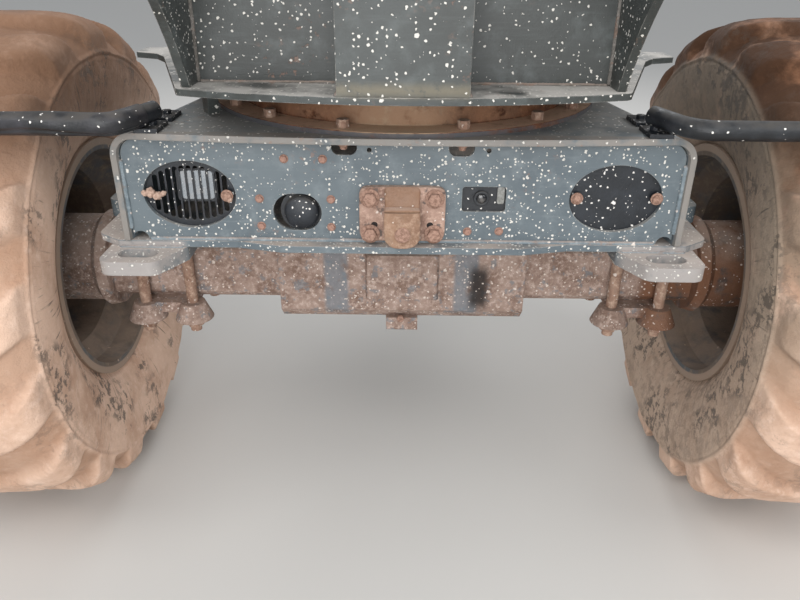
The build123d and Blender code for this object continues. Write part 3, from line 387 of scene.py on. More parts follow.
def lamp_glass(name, tint, ribs_mm):
    """Moulded lens over a bright reflector: clear coated, with soft upright ribs ribs_mm apart and a film of dust."""
    material, place, soft = new_material(name, 1.0)
    dusty = blotches(material, place, 14, 0.4, 0.7)
    colour = cover(material, tint, "8f8a84", dusty, 0.4)
    ribs = node(material, "TexWave", {"Vector": place, "Scale": WAVE_MM / ribs_mm, "Distortion": 0.0},
                bands_direction="X")
    rough = node(material, "MapRange", {"Value": dusty, "To Min": 0.12, "To Max": 0.5})
    return finish(material, colour, rough, relief(material, (ribs, 0.5)), soft, **{
        "Metallic": 0.35, "Coat Weight": 1.0, "Coat Roughness": 0.08})


# Tones from dark to light, and splashes as their pitch, largest size in millimetres and share
FRAME_TONES = ("535d63", "616b70", "727b7f")
FINE, COARSE = (6.5, 4.8, 0.8), (22, 8.5, 0.4)
# Marks: dust on the deck box's front rim, mud at the foot of the centre box, dust on the lashing lugs' edges
RIM_DUST = ("8b837b", 0.75, 60, {"Y": (fore(700), fore(395.5), 0.001)})
BOX_MUD = ("8d8064", 0.4, 16, {
    "X": (-0.11, 0.11, 0.003), "Y": (fore(560), fore(500), 0.01), "Z": (0.322, 0.340, 0.01)})
LUG_DUST = tuple(
    ("b0a59e", 0.6, 60, {"X": ends, "Z": (-0.04, 0.012, 0.002)}) for ends in ((0.43, 0.7, 0.01), (-0.7, -0.43, 0.01)))
# Stains and rust on the left tube of the axle, old paint on both sides of its cover, and an oil stain
AXLE_MARKS = (
    ("2a2a2b", 0.8, 70, {"X": (0.60, 1.0, 0.02)}),
    ("80553a", 0.8, 45, {"X": (0.60, 1.0, 0.02)}),
    ("6f7b84", 0.7, 60, {"X": (0.128, 0.186, 0.006), "Z": (-0.30, -0.08, 0.02)}),
    ("6f7b84", 0.7, 60, {"X": (-0.191, -0.133, 0.006), "Z": (-0.30, -0.08, 0.02)}),
    ("2c2624", 0.95, 400, {"X": (0.167, 0.211, 0.012), "Z": (-0.276, -0.164, 0.022), "Y": (-2.0, -1.3, 0.01)}),
)
FINISHES = {
    "frame_paint": chassis_enamel("blue-grey chassis enamel", FRAME_TONES, "a09b94", 0.6, 0.5, FINE, COARSE),
    # The grey-green tones are partly the paint's own and partly painted shade: darkened for the turntable's recessed
    # panels
    "turntable_paint": chassis_enamel(
        "grey-green chassis enamel", ("343735", "3e4241", "505554"), "c2bdb6", 0.85, 0.5, (7.5, 4.8, 0.7),
        (26, 8.5, 0.4), (BOX_MUD,)),
    "axle_iron": rusty_iron("rusted sand casting", ("7b6255", "a18a7e", "c3aea2"), "6d7880", 0.6, 0.55, AXLE_MARKS),
    "ring_steel": ring_rust(),
    "bolt_steel": rusty_iron("rusted bolt steel", ("836453", "a48573", "c6ab97"), "8a7a6c", 0.3, 0.3),
    "bracket_steel": rusty_iron("rusted bracket with old paint", ("7f6254", "a98b7c", "c9ab9a"), "57504d", 0.8, 0.35),
    "black_paint": black_enamel("satin black enamel", "14181e", "23282f", 0.6),
    "black_plastic": black_enamel("moulded black plastic", "1d1f23", "2d3034", 0.25, 0.5),
    "tyre": clay_rubber(),
    "rim_paint": wheel_enamel(),
}
# Plates caked with pale clay on top, and the deck box with a film of dust along its front rim
DUSTY_EDGE = chassis_enamel(
    "clay-dusted chassis enamel", FRAME_TONES, "b3a69c", 0.9, 0.4, FINE, COARSE, LUG_DUST)
DUSTY_RIM = chassis_enamel(
    "chassis enamel with a dusty rim", FRAME_TONES, "a19c95", 0.62, 0.5, (8.5, 5.0, 0.6), (30, 9, 0.4), (RIM_DUST,))
# Weld beads are matt: a shade lighter than the plate on the frame, and browner on the turntable
FRAME_WELD = rusty_iron("painted weld bead", ("67737a", "7b878d", "929ca1"), "8c7466", 0.5, 0.2)
TURNTABLE_WELD = rusty_iron("rusted weld bead", ("5a5650", "6f6b66", "8b8580"), "7f5f4c", 0.5, 0.15)
# The hook is evenly brown rust, with painted shade on it: a darker, warmer brown on its upper slope and a dark line
# in the crease at its bend
HOOK_RUST_AND_SHADE = rusty_iron("rust-brown forged hook", ("7e604d", "987963", "ad907b"), "8a7666", 0.35, 0.06, (
    # Painted shade: a darker brown band over the upper slope, and a thin dark band in the crease
    ("7a5236", 0.7, 40, {"Z": (0.089, 0.14, 0.003)}), ("3f2a1d", 0.8, 300, {"Z": (0.0865, 0.0895, 0.001)}),
))
# Fasteners gleam dully under grime or are plain rust, and scale is pale and chalky
FASTENER = small_metal("grimy plated fastener", ("a98373", "83665a"), 0.75, 0.2)
RUSTY_FASTENER = small_metal("rusted fastener", ("a58474", "7a5d4e"), 0.9)
RUST_LUMP = small_metal("lump of rust scale", ("bda291", "977a6b"), 0.95)
# A hole's depth shown as a dark disc: painted shade
HOLE_SHADE = small_metal("painted hole shade", ("1b1715", "2b2421"), 0.9)
PALE_TAB = small_metal("chalky plastic tab", ("8d8d89", "6d6c68"), 0.7)
# Rubber keeps a soft sheen, and the tubes are scuffed and less spattered than the covers
SPLIT_SLEEVE = black_enamel("split rubber sleeve", "17181b", "302f34", 0.12, 0.36)
TUBE_ENAMEL = black_enamel("scuffed black tube enamel", "121519", "282b30", 0.18)
CLEAR_LENS = lamp_glass("clear lamp lens", "8c9298", 31.4)
AMBER_LENS = lamp_glass("amber lamp lens", "c4701e", 25.12)
# The camera's glass is narrower than one rib, so it is plain
CAMERA_GLASS = lamp_glass("camera glass", "16181c", 251.2)
NODE_FINISH = {
    "bed_plate": DUSTY_EDGE, "lashing_lug_left": DUSTY_EDGE, "lashing_lug_right": DUSTY_EDGE,
    "hood_shell": DUSTY_RIM, "lamp_arm_left": TUBE_ENAMEL, "lamp_arm_right": TUBE_ENAMEL,
}
SLOT_OF = {row["node"]: row["material_slot"] for row in frame["record"]["subparts"]}

for name, obj in frame["nodes"].items():
    for index in range(len(obj.material_slots)):
        obj.material_slots[index].material = NODE_FINISH.get(name, FINISHES[SLOT_OF[name]])


# Shapes, each worked out as whole arrays of points

def build(name, vertices, faces, body, slot, material=None, smooth=True, attributes=None):
    """A mesh from arrays of vertices and of faces, one array for each number of corners. It rides on a body, in the
    material given or else in its slot's."""
    mesh = bpy.data.meshes.new(name)
    mesh.vertices.add(len(vertices))
    mesh.vertices.foreach_set("co", np.ascontiguousarray(vertices, dtype=np.float32).ravel())
    corners = np.concatenate([group.ravel() for group in faces]).astype(np.int32)
    sizes = np.concatenate([np.full(len(group), group.shape[1]) for group in faces])
    mesh.loops.add(len(corners))
    mesh.loops.foreach_set("vertex_index", corners)
    mesh.polygons.add(len(sizes))
    mesh.polygons.foreach_set("loop_start", (np.cumsum(sizes) - sizes).astype(np.int32))
    mesh.polygons.foreach_set("use_smooth", np.full(len(sizes), smooth))
    mesh.update(calc_edges=True)
    for key, values in (attributes or {}).items():
        kind, field = ("FLOAT_VECTOR", "vector") if values.ndim > 1 else ("FLOAT", "value")
        made = mesh.attributes.new(key, kind, "POINT")
        made.data.foreach_set(field, values.astype(np.float32).ravel())
    mesh.materials.append(material or FINISHES[slot])
    obj = bpy.data.objects.new(name, mesh)
    bpy.context.collection.objects.link(obj)
    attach(obj, body)
    return obj


def shells(name, rows, poles, body, slot, material=None, smooth=True):
    """Closed shells. rows holds, for each piece, rows of points that go anticlockwise round its way, and a fan of
    triangles joins the first and the last row to the piece's two poles."""
    pieces, count, around = rows.shape[:3]
    here = np.arange(count * around).reshape(count, around)
    beside = np.roll(here, -1, axis=1)
    quads = np.stack([here[:-1], beside[:-1], beside[1:], here[1:]], -1).reshape(-1, 4)
    first, last = np.full(around, count * around), np.full(around, count * around + 1)
    fans = np.concatenate([np.stack([first, beside[0], here[0]], -1), np.stack([last, here[-1], beside[-1]], -1)])
    shift = np.arange(pieces)[:, None, None] * (count * around + 2)
    vertices = np.concatenate([rows.reshape(pieces, -1, 3), poles], 1).reshape(-1, 3)
    return build(name, vertices, [(quads + shift).reshape(-1, 4), (fans + shift).reshape(-1, 3)], body, slot,
                 material, smooth)


def hexagon(angle):
    """Reach of a six-sided outline at each angle, as a share of its corner's."""
    return math.cos(math.pi / 6) / np.cos(angle % (math.pi / 3) - math.pi / 6)


def soft_box(half_wide, half_high, power=7):
    """Outline of a rounded rectangle: the superellipse |x / half_wide| ** power + |z / half_high| ** power = 1."""
    def reach(angle):
        wide, high = np.abs(np.cos(angle) / half_wide), np.abs(np.sin(angle) / half_high)
        return (wide ** power + high ** power) ** (-1 / power)
    return reach


def turned(name, spots, way, profile, body, slot, material=None, outline=None, around=24):
    """Like pieces, one at each spot in metres: a profile of reach and height in millimetres goes round the way from
    pole to pole. An outline stretches the reach by its own value at each angle."""
    way = np.asarray(way, float)
    across = np.cross(way, (0, 0, 1) if abs(way[2]) < 0.9 else (0, 1, 0))
    other = np.cross(way, across)
    angle = np.arange(around) * 2 * np.pi / around
    stretch = outline(angle) if outline else np.ones(around)
    ring = stretch[:, None] * (np.cos(angle)[:, None] * across + np.sin(angle)[:, None] * other)
    reach, height = np.asarray(profile, float).T / 1000
    spots = np.asarray(spots, float)
    rows = spots[:, None, None] + reach[1:-1, None, None] * ring + height[1:-1, None, None] * way
    poles = spots[:, None] + height[[0, -1], None] * way
    return shells(name, rows, poles, body, slot, material, smooth=outline is None)


def waves(points, size, count=24, seed=0):
    """A soft random field at points, mostly within -1 and 1: 2.5 times the mean of count sine waves that run in
    random directions and are from half to twice size metres long."""
    draw = np.random.default_rng(seed)
    directions = draw.normal(size=(count, 3))
    directions /= np.linalg.norm(directions, axis=1)[:, None]
    steps = 2 * np.pi / size * draw.uniform(0.5, 2.0, count)
    return np.sin(points @ (directions * steps[:, None]).T + draw.uniform(0, 2 * np.pi, count)).mean(-1) * 2.5


LUMP_ROWS, LUMP_SIDES, LUMP_SWELL = 15, 22, 0.33


def lumps(name, spots, sizes_mm, body, slot, material, seed):
    """Lumps, one at each spot: a ball of the size given, whose reach a random field swells and pinches by a
    third."""
    tilt, turn = np.meshgrid(
        np.linspace(0, np.pi, LUMP_ROWS)[::-1], np.arange(LUMP_SIDES) * 2 * np.pi / LUMP_SIDES, indexing="ij")
    ball = np.stack([np.sin(tilt) * np.cos(turn), np.sin(tilt) * np.sin(turn), np.cos(tilt)], -1)
    spots, sizes = np.asarray(spots, float), np.asarray(sizes_mm, float) / 2000
    centre = spots[:, None, None]
    field = waves(centre + ball * 0.02, 0.03, 20, seed)[..., None]
    points = centre + ball * sizes[:, None, None, None] * (1 + LUMP_SWELL * np.clip(field, -1, 1))
    return shells(name, points[:, 1:-1], points[:, [0, -1], 0], body, slot, material)


def carried(name, path, normal, radius, body, slot, material=None, around=12):
    """A round profile along a path: at each point it lies across the path's own direction, with the radius given
    there, one value for each point or one for each point and angle."""
    path = np.asarray(path, float)
    way = np.gradient(path, axis=0)
    way /= np.linalg.norm(way, axis=1)[:, None]
    across = np.cross(way, normal)
    across /= np.linalg.norm(across, axis=1)[:, None]
    other = np.cross(way, across)
    angle = np.arange(around) * 2 * np.pi / around
    ring = np.cos(angle)[None, :, None] * across[:, None] + np.sin(angle)[None, :, None] * other[:, None]
    radius = radius[:, None] if radius.ndim == 1 else radius
    rows = path[:, None] + radius[..., None] * ring
    return shells(name, rows[None], path[None, [0, -1]], body, slot, material)


# Lengths along a weld bead in metres, and the shares by which its radius swells and wanders
BEAD_STEP, RIPPLE_STEP, BEAD_END = 0.0012, 0.006, 0.004
RIPPLE, WANDER = 0.13, 0.1


def weld(name, corners, body, slot, material, radius_mm=4.5):
    """A weld bead along straight runs between corners: a round profile, sampled every BEAD_STEP, whose radius swells
    once every RIPPLE_STEP of torch travel and wanders by a tenth, and closes over BEAD_END at both ends."""
    corners = np.asarray(corners, float)
    lengths = np.concatenate([[0], np.cumsum(np.linalg.norm(np.diff(corners, axis=0), axis=1))])
    along = np.linspace(0, lengths[-1], int(lengths[-1] / BEAD_STEP) + 2)
    path = np.stack([np.interp(along, lengths, corners[:, axis]) for axis in range(3)], -1)
    ripple = 1 + RIPPLE * np.abs(np.sin(np.pi * along / RIPPLE_STEP)) + WANDER * waves(path, 0.05, 12, seed=3)
    closing = np.sqrt(np.clip(np.minimum(along, lengths[-1] - along) / BEAD_END, 0.02, 1))
    span = np.abs(corners[-1] - corners[0])
    normal = (0, 0, 1) if span[2] < span[:2].max() else (0, 1, 0)
    carried(name, path, normal, radius_mm / 1000 * ripple * closing, body, slot, material, 10)


def smooth_line(points, count):
    """Points along a Catmull-Rom curve through the given ones, evenly spread by their number."""
    points = np.asarray(points, float)
    padded = np.vstack([2 * points[0] - points[1], points, 2 * points[-1] - points[-2]])
    t = np.linspace(0, len(points) - 1, count)
    k = np.minimum(t.astype(int), len(points) - 2)
    f = (t - k)[:, None]
    a, b, c, d = (padded[k + n] for n in range(4))
    return 0.5 * (2 * b + (c - a) * f + (2 * a - 5 * b + 4 * c - d) * f ** 2 + (3 * b - a - 3 * c + d) * f ** 3)


def smoothstep(value, low, high):
    """0 below low, 1 above high, with an S-shaped rise between."""
    t = np.clip((value - low) / (high - low), 0, 1)
    return t * t * (3 - 2 * t)


# Tyres: a round carcass blended with a lug profile by a mask that follows the swept lugs

WHEEL_X = 0.963
LUG_COUNT = 17
LUG_STEP = 2 * np.pi / LUG_COUNT
LUG_TURN = math.radians(-6)
TREAD_R = 600.0
TURNS, PROFILE_POINTS = 544, 88  # points round the tyre and along half its profile
# Half profile from the middle outwards, in millimetres: carcass x and radius, then lug top x and radius,
# how far back along the tread the lug's middle lies there, and its half width
TYRE_HALF = np.array((
    (0, 578, 0, 598.5, 0, 40), (60, 577, 62, 598, 18, 43), (120, 572, 128, 596, 38, 47), (168, 562, 180, 590, 65, 50),
    (204, 546, 218, 577, 92, 53), (226, 528, 239, 552, 112, 56), (238, 516, 243.5, 526, 120, 58),
    (244, 506, 244.5, 508, 124, 60), (248, 490, 248, 490, 128, 60), (248, 468, 248, 468, 136, 60),
    (246, 442, 246, 442, 136, 60), (242, 412, 242, 412, 136, 60), (236, 384, 236, 384, 136, 60),
    (226, 352, 226, 352, 136, 60), (213, 328, 213, 328, 136, 60), (203.5, 314, 203.5, 314, 136, 60),
    (197.5, 306.5, 197.5, 306.5, 136, 60), (196.5, 296, 196.5, 296, 136, 60), (195.3, 286.4, 195.3, 286.4, 136, 60),
))
# Raised rings on the sidewall: radius, height and width
SIDE_RINGS = ((505, 5.0, 3.8), (492, 1.5, 2.5), (331, 2.0, 4.0), (318, 1.6, 3.0))
RINGS_FROM = (150, 200)  # half widths between which the rings come in
LUG_INSIDE, LUG_OUTSIDE = 9, 11  # reach of a lug's rounded flank inside and outside its half width
CENTRE_FADE = 14  # half width of the joint between the two rows of lugs
SIDEWALL_R = (500, 516)  # radii over which the flat sidewall gives way to the tread
CLAY_R = (310, 360)  # radii over which clay begins outside the bead
# Clay: height in metres and size of its waves, coarse and fine, and how far it may stand out
CLAY_COARSE, CLAY_FINE, CLAY_MOST = (0.0022, 0.16), (0.0010, 0.05), 0.0004
HALF_WIDE, FULL_R = 0.25, 0.6  # the tyre's own half width and radius, for the way out of it


def tyre(side, end):
    """One tyre. Its profile runs from the outer bead over the tread to the inner bead. Each point is the carcass
    point moved towards the lug top by a mask, 1 within the lug's half width of its swept middle line and 0 past its
    rounded flank; rings of bell shape stand on the sidewall, and waves a few millimetres deep leave the clay
    uneven."""
    half = smooth_line(TYRE_HALF, PROFILE_POINTS)
    profile = np.vstack([half[::-1] * (-1, 1, -1, 1, 1, 1), half[1:]])
    inner = side * profile[:, 0] < 0
    turn, _ = np.meshgrid(np.arange(TURNS) * 2 * np.pi / TURNS, profile[:, 0], indexing="ij")
    place_in_step = (turn + profile[:, 4] / TREAD_R - LUG_TURN - inner * LUG_STEP / 2) / LUG_STEP
    away = np.abs(place_in_step - np.round(place_in_step)) * LUG_STEP * TREAD_R
    mask = 1 - smoothstep(away, profile[:, 5] - LUG_INSIDE, profile[:, 5] + LUG_OUTSIDE)
    # Across the middle the two rows of lugs, half a step apart, fade into one another
    opposite = LUG_STEP * TREAD_R / 2 - away
    across = 1 - smoothstep(opposite, profile[:, 5] - LUG_INSIDE, profile[:, 5] + LUG_OUTSIDE)
    joint = 1 - smoothstep(np.abs(profile[:, 0]), 0, CENTRE_FADE)
    mask = np.maximum(mask, across * joint)
    x = profile[:, 0] + mask * (profile[:, 2] - profile[:, 0])
    radius = profile[:, 1] + mask * (profile[:, 3] - profile[:, 1])
    flank = smoothstep(np.abs(profile[:, 0]), *RINGS_FROM)
    for at, high, wide in SIDE_RINGS:
        x = x + np.sign(profile[:, 0]) * flank * high * np.exp(-((profile[:, 1] - at) / wide) ** 2)
    x, radius = x / 1000, radius / 1000
    place = np.stack([side * WHEEL_X + x, AXLE_Y - radius * np.sin(turn), AXLE_Z + radius * np.cos(turn)], -1)
    flat = place.reshape(-1, 3)
    clay = CLAY_COARSE[0] * waves(flat, CLAY_COARSE[1], 30, seed=5 + side)
    clay = clay + CLAY_FINE[0] * waves(flat, CLAY_FINE[1], 30, seed=7)
    # The lugs end 1.5 mm above the ground, so the clay stands out by 0.4 mm at most, all round
    clay = np.minimum(clay.reshape(turn.shape) * smoothstep(profile[:, 1], *CLAY_R), CLAY_MOST)
    out = np.stack([x / HALF_WIDE, -np.sin(turn) * radius / FULL_R, np.cos(turn) * radius / FULL_R], -1)
    place = place + out * clay[..., None]
    length = np.concatenate([[0], np.cumsum(np.hypot(np.diff(profile[:, 0]), np.diff(profile[:, 1])))]) / 1000
    from_bead = np.minimum(length, length[-1] - length)
    round_way = np.stack([np.cos(turn), np.sin(turn), np.broadcast_to(from_bead, turn.shape)], -1)
    sidewall = np.broadcast_to(1 - smoothstep(profile[:, 1], *SIDEWALL_R), turn.shape)
    here = np.arange(turn.size).reshape(turn.shape)
    ahead_of, beside = np.roll(here, -1, axis=0), np.roll(here, -1, axis=1)
    diagonal = np.roll(ahead_of, -1, axis=1)
    quads = np.stack([here, ahead_of, diagonal, beside], -1).reshape(-1, 4)
    made = build(f"tyre_dressed_{end}", place.reshape(-1, 3), [quads], f"wheel_{end}", "tyre", attributes={
        "round": round_way.reshape(-1, 3), "lug": mask.reshape(-1), "side": sidewall.reshape(-1)})
    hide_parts(f"tyre_{end}")


tyre(LEFT, "left")
tyre(RIGHT, "right")

# Weld beads of the frame: corners of each run
BEAD_Y = FACE_Y - 0.001
FRAME_WELDS = (
    ((-0.498, BEAD_Y, BED_Z + 0.001), (0.498, BEAD_Y, BED_Z + 0.001)),
    ((-0.49, BEAD_Y, 0.2145), (-0.14, BEAD_Y, 0.2145)),
    ((-0.08, BEAD_Y, 0.2145), (0.08, BEAD_Y, 0.2145)),
    ((0.14, BEAD_Y, 0.2145), (0.49, BEAD_Y, 0.2145)),
    ((-0.5325, BEAD_Y, 0.034), (-0.5325, BEAD_Y, 0.175)),
    ((0.5325, BEAD_Y, 0.034), (0.5325, BEAD_Y, 0.175)),
    ((0.432, fore(402), -0.001), (0.560, fore(402), -0.001)),
    ((-0.432, fore(402), -0.001), (-0.560, fore(402), -0.001)),
    ((0.5445, fore(380), BED_Z), (0.442, fore(-165), BED_Z)),
    ((-0.5445, fore(380), BED_Z), (-0.442, fore(-165), BED_Z)),
    ((0.365, fore(-472), 0.01), (0.365, fore(-472), 0.21)),
    ((-0.365, fore(-472), 0.01), (-0.365, fore(-472), 0.21)),
)
for number, corners in enumerate(FRAME_WELDS):
    weld(f"frame_weld_{number}", corners, "front_chassis", "frame_paint", FRAME_WELD)

TURNTABLE_WELDS = (
    ((0.381, fore(452), BASE_TOP), (0.381, fore(-258), BASE_TOP)),
    ((-0.381, fore(452), BASE_TOP), (-0.381, fore(-258), BASE_TOP)),
    ((0.112, fore(405), BASE_TOP), (0.362, fore(405), BASE_TOP)),
    ((-0.362, fore(405), BASE_TOP), (-0.112, fore(405), BASE_TOP)),
    ((0.110, fore(405), BASE_TOP), (0.110, fore(405), 0.515)),
    ((-0.110, fore(405), BASE_TOP), (-0.110, fore(405), 0.515)),
    ((0.110, fore(407), BASE_TOP), (0.110, fore(522), BASE_TOP)),
    ((-0.110, fore(407), BASE_TOP), (-0.110, fore(522), BASE_TOP)),
    ((0.3645, fore(405), BASE_TOP), (0.3645, fore(405), 0.515)),
    ((-0.3645, fore(405), BASE_TOP), (-0.3645, fore(405), 0.515)),
)
for number, corners in enumerate(TURNTABLE_WELDS):
    weld(f"turntable_weld_{number}", corners, "turntable", "turntable_paint", TURNTABLE_WELD, 4.0)

# Fasteners. Profiles are pairs of reach and height in millimetres, from pole to pole.
WASHER = ((0, -1), (8.5, -1), (8.5, 1.0), (8.0, 1.4), (0, 1.4))
HEX_HEAD = ((0, 0), (7.0, 0), (7.0, 4.6), (6.0, 5.2), (0, 5.2))
BIG_WASHER = ((0, -1), (12, -1), (12, 1.6), (11.4, 2.2), (0, 2.2))
DOME_HEAD = ((0, 0), (9, 0), (9, 2.5), (7.8, 4.8), (5.0, 6.2), (2.2, 6.6), (0, 6.7))
TOW_WASHER = ((0, -1), (19, -1), (19, 1.8), (18.2, 2.5), (0, 2.5))
# Places on the face plate: x and height above the ground
FACE_BOLTS = ((-224, 979), (-151, 979), (-276, 900), (-138, 900), (-276, 844), (-139, 843), (128, 837), (190, 838))
COVER_SCREWS = ((-338, 905), (335, 907), (488, 908))
RUST_SPOTS = ((-496, 909), (-484, 911), (-471, 905), (-460, 909), (-333, 898))
RUST_SIZES = (12, 18, 16, 11, 11)
TOW_BOLTS = ((-62, 835), (62, 835), (-62, 907), (62, 907))


def on_face(places, proud_mm=0.0):
    """Spots on the face plate's front, proud_mm in front of it."""
    return [(x / 1000, FACE_Y - proud_mm / 1000, up(height)) for x, height in places]


turned("face_washers", on_face(FACE_BOLTS), FORWARD, WASHER, "front_chassis", "bolt_steel", FASTENER)
turned("face_bolts", on_face(FACE_BOLTS, 1.2), FORWARD, HEX_HEAD, "front_chassis", "bolt_steel", FASTENER, hexagon)
turned("cover_washers", on_face(COVER_SCREWS), FORWARD, BIG_WASHER, "front_chassis", "bolt_steel", RUSTY_FASTENER)
turned("cover_screws", on_face(COVER_SCREWS, 2), FORWARD, DOME_HEAD, "front_chassis", "bolt_steel", RUSTY_FASTENER)
lumps("rust_lumps", on_face(RUST_SPOTS, 2), RUST_SIZES, "front_chassis", "bolt_steel", RUST_LUMP, seed=11)

# Tow bracket: plate, washers, bolt heads, two dark discs of painted shade in its holes, and the hook with its boss
TOW_Z = BED_Z + 0.061
PLATE_PROFILE = ((0, -1), (1, -1), (1, 10.5), (0.985, 12), (0, 12))
tow_plate = turned("tow_plate_dressed", [(0, FACE_Y, TOW_Z)], FORWARD, PLATE_PROFILE, "front_chassis",
                   "bracket_steel", outline=soft_box(83, 55, 9), around=96)
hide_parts("tow_bracket")
turned("tow_washers", on_face(TOW_BOLTS, 12), FORWARD, TOW_WASHER, "front_chassis", "bracket_steel", RUSTY_FASTENER)
TOW_HEAD = ((0, 0), (13.5, 0), (13.5, 9.5), (11.5, 11), (0, 11))
turned("tow_bolts", on_face(TOW_BOLTS, 14), FORWARD, TOW_HEAD, "front_chassis", "bracket_steel", RUSTY_FASTENER,
       hexagon)
# The two holes are dark discs of painted shade on the plate's front
TOW_HOLES = ((-54, 853), (54, 853))
HOLE_DISC = ((0, -1), (6.5, -1), (6.5, 0.2), (6.3, 0.4), (0, 0.4))
turned("tow_holes", on_face(TOW_HOLES, 12), FORWARD, HOLE_DISC, "front_chassis", "bracket_steel", HOLE_SHADE)
# The hook is a bent strap: distance in front of the face, height above the plate's middle and half its width
HOOK_LINE = np.array(((6, 52, 33), (11, 44, 34), (27, 17, 33), (33, 13, 34), (33, 0, 35), (34, -24, 35),
                      (33, -48, 35), (33, -60, 35)), float)
HOOK_THICK, HOOK_END_R, HOOK_POWER = 13.0, 24.0, 5
HOOK_ROWS, HOOK_SIDES, FORGED = 160, 40, 0.0012  # points along and round it, and its unevenness in metres
hook_way = np.linspace(0, len(HOOK_LINE) - 1, HOOK_ROWS)
hook = np.stack([np.interp(hook_way, np.arange(len(HOOK_LINE)), column) for column in HOOK_LINE.T], -1)
# Its lower end has round corners, and its cross-section is a superellipse
to_end = np.clip(HOOK_END_R - (hook[:, 1] - hook[-1, 1]), 0, HOOK_END_R * 0.999)
hook_half = hook[:, 2] - HOOK_END_R + np.sqrt(HOOK_END_R ** 2 - to_end ** 2)
hook_angle = np.arange(HOOK_SIDES) * 2 * np.pi / HOOK_SIDES
wide_share = np.sign(np.cos(hook_angle)) * np.abs(np.cos(hook_angle)) ** (2 / HOOK_POWER)
thick_share = np.sign(np.sin(hook_angle)) * np.abs(np.sin(hook_angle)) ** (2 / HOOK_POWER)
hook_line = np.stack([np.zeros(HOOK_ROWS), FACE_Y - hook[:, 0] / 1000, TOW_Z + hook[:, 1] / 1000], -1)
along_hook = np.gradient(hook_line, axis=0)
along_hook /= np.linalg.norm(along_hook, axis=1)[:, None]
outwards = np.cross(along_hook, (1, 0, 0))
hook_rows = hook_line[:, None] + outwards[:, None] * (thick_share * HOOK_THICK / 2000)[None, :, None]
hook_rows[..., 0] += wide_share * hook_half[:, None] / 1000
uneven = FORGED * waves(hook_rows.reshape(-1, 3), 0.05, 20, seed=9)
hook_rows += outwards[:, None] * uneven.reshape(HOOK_ROWS, HOOK_SIDES, 1)
shells("tow_hook", hook_rows[None], hook_line[None, [0, -1]], "front_chassis", "bracket_steel", HOOK_RUST_AND_SHADE)
BOSS = ((0, -2), (16, -2), (15, 3.2), (12.5, 4.6), (9, 4.0), (0, 3.4))
turned("hook_boss", [(0.001, FACE_Y - 0.039, TOW_Z - 0.032)], FORWARD, BOSS, "front_chassis", "bracket_steel",
       RUSTY_FASTENER)

# Nuts of the ring bolts under the deck; two of them show in the notches of the face
RING_BOLT_R = 0.404
RING_ANGLES = np.radians([16, 40, 59.5, 90, 120.5, 140, 164])
RING_ANGLES = np.concatenate([RING_ANGLES, -RING_ANGLES])
under_deck = np.stack([
    RING_BOLT_R * np.sin(RING_ANGLES), AXLE_Y - RING_BOLT_R * np.cos(RING_ANGLES),
    np.full(len(RING_ANGLES), DECK_Z - DECK_THICK)], -1)
RING_NUT = ((0, 0), (12, 0), (12, 11), (10.5, 12), (7, 12.1), (7, 18), (6, 19), (0, 19))
turned("ring_nuts", under_deck, UNDER, RING_NUT, "front_chassis", "bolt_steel", RUSTY_FASTENER, hexagon)

# Domed cap, camera glass with its bezel, and a pale tab beside the camera
CAP_DOME = ((0, -2), (33, -2), (32, 1.5), (27, 4.5), (19, 6.8), (9, 8.2), (0, 8.6))
CAP_SPOT = (-0.196, fore(397), 0.073)
turned("cap_dome", [CAP_SPOT], FORWARD, CAP_DOME, "front_chassis", "black_plastic", FINISHES["black_paint"],
       around=48)
CAMERA_SPOT = (0.152, FACE_Y + 0.001, up(905))
BEZEL = ((0, -1), (15, -1), (15, 3.0), (14, 3.8), (10.5, 3.8), (10, 2.2), (0, 2.0))
turned("camera_bezel", [CAMERA_SPOT], FORWARD, BEZEL, "front_chassis", "black_plastic")
GLASS = ((0, 1.0), (9.6, 1.0), (9.4, 2.6), (6.5, 4.2), (3.0, 4.9), (0, 5.1))
turned("camera_glass", [CAMERA_SPOT], FORWARD, GLASS, "front_chassis", "black_plastic", CAMERA_GLASS)
TAB_SPOT = (0.189, FACE_Y + 0.003, up(911))
TAB_PLATE = ((0, -1), (1, -1), (1, 2), (0.9, 2.6), (0, 2.6))
turned("camera_tab", [TAB_SPOT], FORWARD, TAB_PLATE, "front_chassis", "black_plastic", PALE_TAB,
       soft_box(7.0, 17.0), 48)

# Lamp lenses: rounded plates with a bevelled rim; profiles give the share of the outline and the height
LENS_PLATE = ((0, -2), (1, -2), (1, 0.2), (0.97, 0.6), (0, 0.7))
turned("work_lamp_lens", [(-0.398, FACE_Y + 0.0145, up(921))], FORWARD, LENS_PLATE, "front_chassis",
       "black_plastic", CLEAR_LENS, soft_box(35, 29), 48)
MARKER_PLATE = ((0, -3), (1, -3), (1, 4.0), (0.95, 6.0), (0, 7.0))
MARKER_Y, MARKER_Z, MARKER_HALF_HIGH = fore(481), 0.3183, 36
MARKER_LENSES = (("amber", 1.121, 21, AMBER_LENS), ("clear", 1.071, 24, CLEAR_LENS))
for side, end in ((LEFT, "left"), (RIGHT, "right")):
    for kind, x, half_wide, glass in MARKER_LENSES:
        turned(f"marker_{kind}_{end}", [(side * x, MARKER_Y, MARKER_Z)], FORWARD, MARKER_PLATE, "front_chassis",
               "black_plastic", glass, soft_box(half_wide, MARKER_HALF_HIGH), 48)

# Split rubber sleeve on the right lamp arm: folds run along it, and it is torn open on its front
ARM_Z = DECK_Z + 0.026
SLEEVE_LINE = ((-0.482, fore(396), ARM_Z + 0.004), (-0.500, fore(427), ARM_Z + 0.002), (-0.520, fore(446), ARM_Z),
               (-0.560, fore(452), ARM_Z), (-0.70, fore(452), ARM_Z), (-0.87, fore(452), ARM_Z),
               (-1.04, fore(452), ARM_Z))
SLEEVE_ROWS, SLEEVE_SIDES = 320, 72
